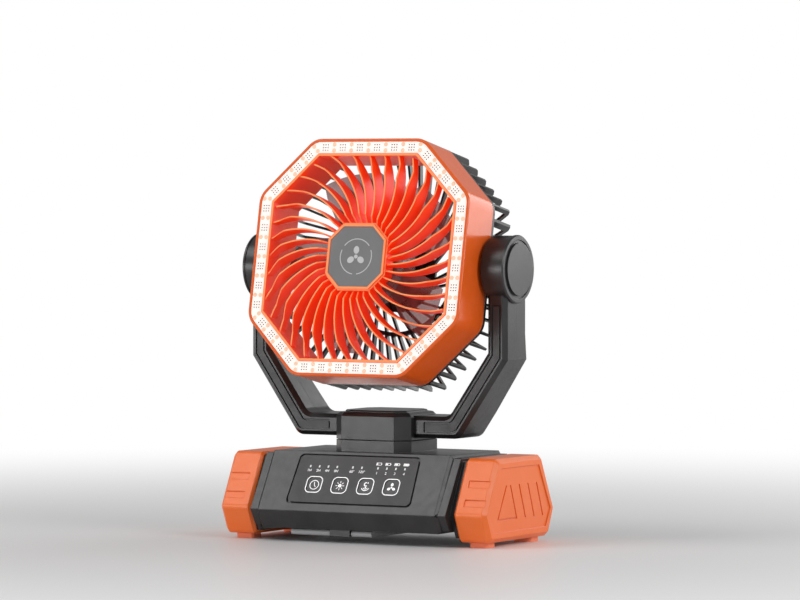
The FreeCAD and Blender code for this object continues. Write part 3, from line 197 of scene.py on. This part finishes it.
class Finish:
    """A material with a few shorthand calls for its nodes."""

    def __init__(self, name, colour, roughness, **sockets):
        self.material = bpy.data.materials.new(name)
        self.material.use_nodes = True
        self.material.diffuse_color = (*colour, 1.0)
        self.nodes = self.material.node_tree.nodes
        self.links = self.material.node_tree.links
        self.shader = self.nodes["Principled BSDF"]
        self.set("Base Color", (*colour, 1.0))
        self.set("Roughness", roughness)
        for key, number in sockets.items():
            self.set(key.replace("_", " "), number)
        self.place = self.nodes.new("ShaderNodeTexCoord")

    def set(self, socket, number):
        self.shader.inputs[socket].default_value = number

    def noise(self, scale, detail=3.0, stretch=None):
        """A cloudy pattern on the piece's own coordinates."""
        item = self.nodes.new("ShaderNodeTexNoise")
        item.inputs["Scale"].default_value = scale
        item.inputs["Detail"].default_value = detail
        source = self.place.outputs["Object"]
        if stretch:
            mapping = self.nodes.new("ShaderNodeMapping")
            mapping.inputs["Scale"].default_value = stretch
            self.links.new(source, mapping.inputs["Vector"])
            source = mapping.outputs["Vector"]
        self.links.new(source, item.inputs["Vector"])
        return item.outputs["Fac"]

    def ramp(self, source, low, high, start=0.35, end=0.65):
        """A number between low and high, driven by a pattern."""
        item = self.nodes.new("ShaderNodeMapRange")
        for socket, number in (("From Min", start), ("From Max", end), ("To Min", low), ("To Max", high)):
            item.inputs[socket].default_value = number
        self.links.new(source, item.inputs["Value"])
        return item.outputs["Result"]

    def mix(self, factor, first, second):
        """A colour between two others, driven by a pattern."""
        item = self.nodes.new("ShaderNodeMix")
        item.data_type = "RGBA"
        item.inputs["A"].default_value = (*first, 1.0)
        item.inputs["B"].default_value = (*second, 1.0)
        self.links.new(factor, item.inputs["Factor"])
        return item.outputs["Result"]

    def feed(self, socket, source):
        self.links.new(source, self.shader.inputs[socket])

    def soft_edges(self, radius, grain=None, strength=0.0):
        """Rounded edges in the light, with a fine grain on top."""
        edge = self.nodes.new("ShaderNodeBevel")
        edge.samples = 4
        edge.inputs["Radius"].default_value = radius * MM
        normal = edge.outputs["Normal"]
        if grain:
            bump = self.nodes.new("ShaderNodeBump")
            bump.inputs["Strength"].default_value = strength
            bump.inputs["Distance"].default_value = 0.1 * MM
            self.links.new(grain, bump.inputs["Height"])
            self.links.new(normal, bump.inputs["Normal"])
            normal = bump.outputs["Normal"]
        self.feed("Normal", normal)


def darker(colour, share):
    return [channel * share for channel in colour]


def lighter(colour, share):
    return [channel + (1 - channel) * share for channel in colour]


def moulded(name, colour, roughness, edge=0.45, grain=0.06, variation=0.025, **sockets):
    """Moulded plastic: a little cloudiness, a fine texture and rounded edges."""
    finish = Finish(name, colour, roughness, **sockets)
    cloud = finish.noise(scale=45, detail=4)
    finish.feed("Base Color", finish.mix(finish.ramp(cloud, 0, 1), darker(colour, 1 - variation),
                                         lighter(colour, variation * 0.5)))
    finish.feed("Roughness", finish.ramp(finish.noise(scale=160), roughness - 0.02, roughness + 0.03))
    finish.soft_edges(edge, finish.noise(scale=2600, detail=2), grain)
    return finish


def vane_with_painted_light(colours):
    """Glossy red grille with a painted highlight on the faces turned forward, and a weak painted glow
    that stands in for the lamp ring's light on the vanes.
    """
    finish = moulded("vane_plastic_painted_light", colours.vane, 0.3, edge=0.3, grain=0.03, Specular_IOR_Level=0.28)
    # Painted highlight: faces turned towards the front are mixed towards the paler highlight colour by
    # their direction alone
    facing = finish.nodes.new("ShaderNodeVectorMath")
    facing.operation = "DOT_PRODUCT"
    tilt = math.radians(HEAD_TILT)
    facing.inputs[1].default_value = (0, -math.cos(tilt), math.sin(tilt))
    finish.links.new(finish.place.outputs["Normal"], facing.inputs[0])
    tint = finish.mix(finish.ramp(facing.outputs["Value"], 0, 1, 0.55, 0.95), colours.vane,
                      colours.vane_painted_highlight)
    finish.feed("Base Color", tint)
    # Painted glow: the vane colour, with its painted highlight, emits a little, standing in for the lamp
    # ring's light
    finish.feed("Emission Color", tint)
    finish.set("Emission Strength", VANE_PAINTED_GLOW)
    return finish


def metal(name, colour, roughness):
    """Bare metal with fine streaks in its sheen."""
    finish = Finish(name, colour, roughness, Metallic=1.0)
    streak = finish.noise(scale=420, detail=2, stretch=(0.2, 1.0, 6.0))
    finish.feed("Roughness", finish.ramp(streak, roughness - 0.08, roughness + 0.12))
    finish.feed("Base Color", finish.mix(finish.noise(scale=90), darker(colour, 0.9),
                                         lighter(colour, 0.08)))
    finish.soft_edges(0.15)
    return finish


def glowing(name, colour, strength, speck=0.06):
    """A lit surface that varies a little, as a frosted lamp cover does."""
    finish = Finish(name, colour, roughness=0.35)
    finish.set("Emission Strength", strength)
    tone = finish.mix(finish.ramp(finish.noise(scale=260, detail=2), 0, 1), darker(colour, 1 - speck),
                      colour)
    finish.feed("Base Color", tone)
    finish.feed("Emission Color", tone)
    return finish


def smoke(name, colour):
    """Clear tinted plastic of the fan blades."""
    finish = Finish(name, colour, roughness=0.16, Alpha=0.62, IOR=1.49)
    finish.feed("Base Color", finish.mix(finish.ramp(finish.noise(scale=60), 0, 1), darker(colour, 0.85),
                                         lighter(colour, 0.1)))
    finish.feed("Roughness", finish.ramp(finish.noise(scale=220), low=0.12, high=0.24))
    finish.soft_edges(0.3)
    return finish


def all_finishes(colours):
    """Every finish: the record's slots, then the inks and lens marks drawn here."""
    dark = linear("#1C1C1D")
    return {
        "black_casing": moulded("casing_plastic", colours.casing, 0.3, edge=0.7),
        "orange_cap": moulded("cap_plastic", colours.cap, 0.34, edge=0.7),
        "orange_foot": moulded("foot_rubber", lighter(colours.cap, 0.12), 0.7, edge=0.5),
        "grey_panel": moulded("panel_plastic", colours.panel, 0.5, edge=0.3),
        "lamp_window": glowing("window_light", linear("#D9DDDA"), 0.25),
        "green_board": moulded("board_coating", linear("#1E5B33"), 0.4, variation=0.2),
        "black_part": moulded("inner_plastic", dark, 0.5),
        "cell_sleeve": moulded("cell_wrap", linear("#2E7FA3"), 0.25, variation=0.03),
        "steel": metal("plated_steel", linear("#B9BABD"), 0.3),
        "brass": metal("turned_brass", linear("#C9A35A"), 0.3),
        "grey_trim": moulded("inlay_plastic", colours.trim, 0.4, edge=0.3),
        "black_rubber": moulded("friction_rubber", dark, 0.8, variation=0.15),
        "orange_shroud": moulded("shroud_plastic", colours.shroud, 0.17, edge=0.6, grain=0.03),
        # The red grille's vanes carry a painted highlight on their forward faces and a weak painted glow
        "red_grille": vane_with_painted_light(colours),
        "grey_badge": moulded("badge_plastic", colours.badge, 0.4, edge=0.3),
        "white_board": moulded("lamp_board_coating", linear("#E8E6DE"), 0.5),
        "lamp_chip": glowing("chip_phosphor", linear("#FFE9B0"), 1.0),
        "diffuser": glowing("lens_light", linear("#FFF8F2"), 0.22, speck=0.05),
        "black_grille": moulded("grille_plastic", colours.grille, 0.32, edge=0.4),
        "smoke_blade": smoke("blade_plastic", colours.blade),
        "white_button": moulded("key_plastic", colours.panel, 0.42, edge=0.3),
        "grey_loop": moulded("loop_plastic", linear("#B4B4B6"), 0.45),
        "print": moulded("badge_ink", linear("#C9C9C9"), 0.5, edge=0.05),
        "mark": glowing("mark_ink", colours.mark, 0.35, speck=0.02),
        "dot": moulded("lens_dot", linear("#6E3418"), 0.5),
        "halo": glowing("lens_halo", linear("#FFD3B4"), 0.12),
    }


# The first operator fills this, and every piece of the fan takes its finish from it.

FINISHES = {}


def finish_of(name):
    return FINISHES[name].material


# Shapes


def disc(bm, radius, height, x=0.0, y=0.0, segments=32):
    """A flat disc that stands on the drawing's plane."""
    place = Matrix.Translation((x, y, height / 2))
    bmesh.ops.create_cone(bm, cap_ends=True, segments=segments, radius1=radius, radius2=radius,
                          depth=height, matrix=place)


def bar(bm, length, width, height, x=0.0, y=0.0, turn=0.0):
    """A flat bar centred on a point and turned in its plane, in degrees."""
    place = (Matrix.Translation((x, y, height / 2)) @ Matrix.Rotation(math.radians(turn), 4, "Z")
             @ Matrix.Diagonal((length, width, height, 1)))
    bmesh.ops.create_cube(bm, size=1, matrix=place)


def band(bm, outer, inner, height, x=0.0, y=0.0, start=0.0, sweep=360.0):
    """A flat ring, or part of one, spun from its section."""
    first = math.radians(start)
    corners = [(inner, 0), (outer, 0), (outer, height), (inner, height)]
    verts = [bm.verts.new((x + r * math.cos(first), y + r * math.sin(first), z)) for r, z in corners]
    face = bm.faces.new(verts)
    whole = sweep >= 360
    steps = max(BAND_LEAST_STEPS, int(sweep / BAND_STEP_DEGREES))
    made = bmesh.ops.spin(bm, geom=[face, *face.edges, *verts], cent=(x, y, 0), axis=(0, 0, 1),
                          angle=math.radians(sweep), steps=steps, use_merge=whole)
    if whole:
        loose = [item for item in made["geom_last"] if isinstance(item, bmesh.types.BMFace)]
        bmesh.ops.delete(bm, geom=loose, context="FACES_ONLY")


def rounded_ring(bm, size, corner, width, height, x=0.0, y=0.0):
    """A square ring with round corners: four bars and four quarter bands."""
    straight = size - 2 * corner
    middle = (size - width) / 2
    for side in (-1, 1):
        bar(bm, straight, width, height, x, y + side * middle)
        bar(bm, width, straight, height, x + side * middle, y)
    for k, (a, b) in enumerate(((1, 1), (-1, 1), (-1, -1), (1, -1))):
        band(bm, corner, corner - width, height, x + a * straight / 2, y + b * straight / 2, 90 * k, 90)


def letters(bm, text, size, height, x=0.0, y=0.0):
    """Printed characters as thin raised shapes."""
    curve = bpy.data.curves.new("print", "FONT")
    curve.body = text
    curve.size = size
    curve.align_x = "CENTER"
    curve.align_y = "CENTER"
    curve.extrude = height / 2
    curve.resolution_u = 4
    holder = bpy.data.objects.new("print", curve)
    bpy.context.scene.collection.objects.link(holder)
    bpy.context.view_layer.update()
    mesh = bpy.data.meshes.new_from_object(holder.evaluated_get(bpy.context.evaluated_depsgraph_get()))
    mesh.transform(Matrix.Translation((x, y, height / 2)))
    bm.from_mesh(mesh)
    bpy.data.objects.remove(holder)
    bpy.data.meshes.remove(mesh)


def turned(x, y, angle, from_x=0.0, from_y=0.0):
    """A step across a flat drawing, turned by an angle in radians and taken from a point."""
    return (from_x + x * math.cos(angle) - y * math.sin(angle),
            from_y + x * math.sin(angle) + y * math.cos(angle))


def on_panel(lift=PANEL_FACE):
    """From a flat drawing to the sloping front of the base."""
    return (Matrix.Translation((0, PANEL_DEPTH, PANEL_HEIGHT))
            @ Matrix.Rotation(math.radians(PANEL_SLOPE), 4, "X") @ Matrix.Translation((0, 0, lift)))


def on_face(depth):
    """From a flat drawing to a plane across the head, facing forward."""
    return (Matrix.Translation((0, 0, PIVOT_HEIGHT)) @ Matrix.Rotation(math.radians(-HEAD_TILT), 4, "X")
            @ Matrix.Translation((0, depth, 0)) @ Matrix.Rotation(math.radians(90), 4, "X"))


def finished(name, bm, place, body, finish):
    """Turn a flat drawing in millimetres into a piece in its place."""
    bmesh.ops.remove_doubles(bm, verts=bm.verts, dist=MERGE_DISTANCE)
    bmesh.ops.recalc_face_normals(bm, faces=bm.faces)
    bm.transform(Matrix.Scale(MM, 4) @ place)
    mesh = bpy.data.meshes.new(name)
    bm.to_mesh(mesh)
    bm.free()
    piece = bpy.data.objects.new(name, mesh)
    bpy.context.scene.collection.objects.link(piece)
    mesh.materials.append(finish_of(finish))
    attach(piece, body)


def key_places():
    """Each key's place across the panel."""
    return {name: KEY_PITCH * (k - 1.5) for k, name in enumerate(KEY_NAMES)}


# Operators


class FAN_OT_finishes(bpy.types.Operator):
    """Give every part of the model the finish of its slot"""
    bl_idname = "fan.finishes"
    bl_label = "Finishes"

    def execute(self, context):
        FINISHES.update(all_finishes(context.scene.fan_colours))
        for entry in frame["record"]["subparts"]:
            node = frame["nodes"][entry["node"]]
            node.data.materials.clear()
            node.data.materials.append(finish_of(entry["material_slot"]))
        return {"FINISHED"}


class FAN_OT_key_rings(bpy.types.Operator):
    """Put the lit ring round each key"""
    bl_idname = "fan.key_rings"
    bl_label = "Key rings"

    def execute(self, context):
        sizes = context.scene.fan_sizes
        for name, x in key_places().items():
            bm = bmesh.new()
            rounded_ring(bm, sizes.key_ring, KEY_RING_CORNER, sizes.key_ring_width,
                         sizes.mark_height, x, KEY_LEVEL)
            finished(name + "_ring", bm, on_panel(), "base", "mark")
        return {"FINISHED"}


def draw_timer(bm, x, y, height):
    """A clock: a ring and two hands."""
    band(bm, 4.1, 3.5, height, x, y)
    bar(bm, 2.8, 0.55, height, x - 0.15, y + 1.2, 100)
    bar(bm, 2.4, 0.55, height, x + 0.7, y - 0.9, -55)


def draw_light(bm, x, y, height):
    """A sun: a disc and eight rays."""
    disc(bm, 1.5, height, x, y)
    for k in range(8):
        angle = math.radians(45 * k)
        bar(bm, 1.7, 0.5, height, x + 3.0 * math.cos(angle), y + 3.0 * math.sin(angle), 45 * k)


def draw_swing(bm, x, y, height):
    """The swing mark: an open ring and a dot above, two arcs and a dot below."""
    band(bm, 1.9, 1.0, height, x - 0.1, y + 2.0, 80, 230)
    disc(bm, 0.6, height, x + 1.4, y + 3.2, 12)
    band(bm, 3.9, 3.3, height, x, y + 0.2, 205, 130)
    band(bm, 2.6, 2.1, height, x, y + 0.2, 215, 110)
    disc(bm, 0.7, height, x, y - 0.9, 12)


def draw_speed(bm, x, y, height, scale=1.0):
    """A hub and three oval blades, which the badge shows larger."""
    disc(bm, 0.75 * scale, height, x, y)
    for k in range(3):
        turn = Matrix.Rotation(math.radians(90 + 120 * k), 4, "Z")
        shape = (Matrix.Translation((x, y, height / 2)) @ turn @ Matrix.Translation((2.45 * scale, 0, 0))
                 @ Matrix.Diagonal((1.45 * scale, 1.15 * scale, height, 1)))
        bmesh.ops.create_cone(bm, cap_ends=True, segments=28, radius1=1, radius2=1, depth=1, matrix=shape)


class FAN_OT_key_marks(bpy.types.Operator):
    """Draw the clock, sun, swing and blade marks on the keys"""
    bl_idname = "fan.key_marks"
    bl_label = "Key marks"

    def execute(self, context):
        height = context.scene.fan_sizes.mark_height
        drawings = {"timer": draw_timer, "light": draw_light, "swing": draw_swing, "speed": draw_speed}
        for name, x in key_places().items():
            bm = bmesh.new()
            drawings[name](bm, x, KEY_LEVEL, height)
            finished(name + "_mark", bm, on_panel(KEY_FACE), name + "_button", "mark")
        return {"FINISHED"}


class FAN_OT_panel_marks(bpy.types.Operator):
    """Print the numbers and the battery marks on the panel"""
    bl_idname = "fan.panel_marks"
    bl_label = "Panel marks"

    def execute(self, context):
        sizes = context.scene.fan_sizes
        height = sizes.mark_height
        bm = bmesh.new()
        for row, level in ((PANEL_WORDS, WORD_LEVEL), (PANEL_DIGITS, DIGIT_LEVEL)):
            for text, x in row:
                letters(bm, text, sizes.digit_size, height, x, level)
        finished("panel_numbers", bm, on_panel(), "base", "mark")
        bm = bmesh.new()
        for k, (_, x) in enumerate(PANEL_DIGITS):
            self.battery(bm, x, BATTERY_LEVEL, (k + 1) / len(PANEL_DIGITS), height)
        finished("battery_marks", bm, on_panel(), "base", "mark")
        return {"FINISHED"}

    def battery(self, bm, x, y, share, height):
        """A battery outline filled from its left by a share."""
        width, tall, line = BATTERY_WIDTH, BATTERY_HEIGHT, BATTERY_LINE
        for side in (-1, 1):
            bar(bm, width, line, height, x, y + side * (tall - line) / 2)
            bar(bm, line, tall - 2 * line, height, x + side * (width - line) / 2, y)
        bar(bm, BATTERY_TIP_WIDTH, BATTERY_TIP_HEIGHT, height, x + width / 2 + BATTERY_TIP_WIDTH / 2, y)
        fill = (width - 3 * line) * share
        bar(bm, fill, tall - 3.2 * line, height, x - width / 2 + 1.5 * line + fill / 2, y)


def lamp_places(count):
    """Where the lamps shine through the ring, on one side and its corner."""
    places = [(((k + 0.5) / count * 2 - 1) * LAMP_SIDE, LAMP_MIDDLE, 0) for k in range(count)]
    for k in range(CORNER_LAMPS):
        share = (k + CORNER_START) / CORNER_SPAN
        span = LAMP_MIDDLE - LAMP_SIDE
        places.append((LAMP_SIDE + span * share, LAMP_MIDDLE - span * share, -45))
    return places


class FAN_OT_lamp_lenses(bpy.types.Operator):
    """Set a group of small lens dots over every lamp of the ring"""
    bl_idname = "fan.lamp_lenses"
    bl_label = "Lamp lenses"

    def execute(self, context):
        sizes = context.scene.fan_sizes
        dots, halos = bmesh.new(), bmesh.new()
        half_pitch = LAMP_SIDE / sizes.lamp_count
        for quarter in range(RING_QUARTERS):
            whole = math.radians(90 * quarter)
            for x, y, lean in lamp_places(sizes.lamp_count):
                lamp = turned(x, y, whole)
                angle = whole + math.radians(lean)
                for a in (-1, 0, 1):
                    for b in (-1, 0, 1):
                        spot = turned(a * sizes.dot_pitch, b * sizes.dot_pitch, angle, *lamp)
                        disc(dots, sizes.dot_size, DOT_HEIGHT, *spot, DOT_SIDES)
                for side in (-1, 1):
                    spot = turned(half_pitch, side * HALO_OFFSET, angle, *lamp)
                    disc(halos, HALO_RADIUS, HALO_HEIGHT, *spot, HALO_SIDES)
        finished("lens_halos", halos, on_face(HEAD_FRONT + LENS_SINK), "head", "halo")
        finished("lens_dots", dots, on_face(HEAD_FRONT + LENS_SINK), "head", "dot")
        return {"FINISHED"}


class FAN_OT_badge_mark(bpy.types.Operator):
    """Put a plain three-blade mark on the hub plate"""
    bl_idname = "fan.badge_mark"
    bl_label = "Badge mark"

    def execute(self, context):
        bm = bmesh.new()
        draw_speed(bm, 0, 0, BADGE_INK, BADGE_MARK_SCALE)
        for k in range(3):
            band(bm, BADGE_RING_OUTER, BADGE_RING_INNER, BADGE_INK, 0, 0, 120 * k + BADGE_RING_START,
                 BADGE_RING_SWEEP)
        finished("badge_mark", bm, on_face(HUB_FRONT + BADGE_SINK), "head", "print")
        return {"FINISHED"}


# Studio


def soft_lamp(name, place, aim, size, power):
    """A rectangular lamp turned towards its aim."""
    data = bpy.data.lights.new(name, "AREA")
    data.shape = "RECTANGLE"
    data.size, data.size_y = size
    data.energy = power
    lamp = bpy.data.objects.new(name, data)
    lamp.location = place
    lamp.rotation_euler = (Vector(aim) - Vector(place)).to_track_quat("-Z", "Y").to_euler()
    bpy.context.scene.collection.objects.link(lamp)


def floor_finish():
    """Pale floor that keeps the shadow near the fan and turns white farther off."""
    material = bpy.data.materials.new("floor_paint")
    material.use_nodes = True
    nodes, links = material.node_tree.nodes, material.node_tree.links
    shader = nodes["Principled BSDF"]
    shader.inputs["Base Color"].default_value = (FLOOR_GREY, FLOOR_GREY, FLOOR_GREY, 1)
    shader.inputs["Roughness"].default_value = FLOOR_ROUGHNESS
    place = nodes.new("ShaderNodeTexCoord")
    length = nodes.new("ShaderNodeVectorMath")
    length.operation = "LENGTH"
    fade = nodes.new("ShaderNodeMapRange")
    fade.interpolation_type = "SMOOTHSTEP"
    fade.inputs["From Min"].default_value = FLOOR_FADE_START
    fade.inputs["From Max"].default_value = FLOOR_FADE_END
    path = nodes.new("ShaderNodeLightPath")
    seen = nodes.new("ShaderNodeMath")
    seen.operation = "MAXIMUM"
    share = nodes.new("ShaderNodeMath")
    share.operation = "MULTIPLY"
    white = nodes.new("ShaderNodeEmission")
    mixed = nodes.new("ShaderNodeMixShader")
    links.new(place.outputs["Object"], length.inputs[0])
    links.new(length.outputs["Value"], fade.inputs["Value"])
    links.new(path.outputs["Is Camera Ray"], seen.inputs[0])
    links.new(path.outputs["Is Glossy Ray"], seen.inputs[1])
    links.new(seen.outputs["Value"], share.inputs[0])
    links.new(fade.outputs["Result"], share.inputs[1])
    links.new(share.outputs["Value"], mixed.inputs["Fac"])
    links.new(shader.outputs["BSDF"], mixed.inputs[1])
    links.new(white.outputs["Emission"], mixed.inputs[2])
    links.new(mixed.outputs["Shader"], nodes["Material Output"].inputs["Surface"])
    return material


def studio_world(strength):
    """White where the camera sees it, also through clear plastic, and dimmer as a light."""
    world = bpy.data.worlds.new("studio")
    world.use_nodes = True
    nodes, links = world.node_tree.nodes, world.node_tree.links
    sky = nodes["Background"]
    sky.inputs["Color"].default_value = (1, 1, 1, 1)
    path = nodes.new("ShaderNodeLightPath")
    shown = nodes.new("ShaderNodeMath")
    shown.operation = "MAXIMUM"
    level = nodes.new("ShaderNodeMapRange")
    level.inputs["To Min"].default_value = strength
    level.inputs["To Max"].default_value = 1.0
    links.new(path.outputs["Is Camera Ray"], shown.inputs[0])
    links.new(path.outputs["Is Transmission Ray"], shown.inputs[1])
    links.new(shown.outputs["Value"], level.inputs["Value"])
    links.new(level.outputs["Result"], sky.inputs["Strength"])
    bpy.context.scene.world = world


def aimed_camera(stage):
    """The photograph's viewpoint."""
    yaw, pitch = stage.camera_yaw, stage.camera_pitch
    right = Vector((math.cos(yaw), math.sin(yaw), 0))
    back = Vector((math.sin(yaw) * math.cos(pitch), -math.cos(yaw) * math.cos(pitch), math.sin(pitch)))
    up = back.cross(right)
    data = bpy.data.cameras.new("camera")
    data.sensor_width = SENSOR_WIDTH
    data.lens = stage.focal_pixels / PHOTO_WIDTH * data.sensor_width
    camera = bpy.data.objects.new("camera", data)
    spot = Vector((0, 0, stage.camera_height)) + right * stage.camera_side + back * stage.camera_distance
    turn = Matrix((right, up, back)).transposed().to_4x4()
    camera.matrix_world = Matrix.Translation(spot) @ turn
    data.clip_end = CAMERA_REACH
    bpy.context.scene.collection.objects.link(camera)
    bpy.context.scene.camera = camera


class FAN_OT_stage(bpy.types.Operator):
    """Set up the floor, the soft lamps and the camera"""
    bl_idname = "fan.stage"
    bl_label = "Stage"

    def execute(self, context):
        bm = bmesh.new()
        bmesh.ops.create_grid(bm, x_segments=1, y_segments=1, size=FLOOR_HALF)
        mesh = bpy.data.meshes.new("floor")
        bm.to_mesh(mesh)
        bm.free()
        floor = bpy.data.objects.new("floor", mesh)
        bpy.context.scene.collection.objects.link(floor)
        mesh.materials.append(floor_finish())
        studio_world(WORLD_LEVEL)
        for name, setting in SOFT_LAMPS.items():
            soft_lamp(name, *setting)
        aimed_camera(context.scene.fan_stage)
        context.scene.view_settings.view_transform = "Standard"
        return {"FINISHED"}


class FAN_PT_tools(bpy.types.Panel):
    """Steps that dress the fan"""
    bl_idname = "FAN_PT_tools"
    bl_label = "Camping fan"
    bl_space_type = "VIEW_3D"
    bl_region_type = "UI"
    bl_category = "Fan"

    def draw(self, context):
        for step in STEPS:
            self.layout.operator(step.bl_idname)
        for group in (context.scene.fan_colours, context.scene.fan_sizes, context.scene.fan_stage):
            for name in group.__annotations__:
                self.layout.prop(group, name)


GROUPS = (FanColours, FanSizes, StageSizes)
STEPS = (FAN_OT_finishes, FAN_OT_key_rings, FAN_OT_key_marks, FAN_OT_panel_marks,
         FAN_OT_lamp_lenses, FAN_OT_badge_mark, FAN_OT_stage)


def register():
    for item in (*GROUPS, *STEPS, FAN_PT_tools):
        bpy.utils.register_class(item)
    bpy.types.Scene.fan_colours = PointerProperty(type=FanColours)
    bpy.types.Scene.fan_sizes = PointerProperty(type=FanSizes)
    bpy.types.Scene.fan_stage = PointerProperty(type=StageSizes)


def unregister():
    for name in ("fan_colours", "fan_sizes", "fan_stage"):
        delattr(bpy.types.Scene, name)
    for item in reversed((*GROUPS, *STEPS, FAN_PT_tools)):
        bpy.utils.unregister_class(item)


def main():
    register()
    bpy.ops.fan.finishes()
    bpy.ops.fan.key_rings()
    bpy.ops.fan.key_marks()
    bpy.ops.fan.panel_marks()
    bpy.ops.fan.lamp_lenses()
    bpy.ops.fan.badge_mark()
    bpy.ops.fan.stage()


if __name__ == "__main__":
    main()
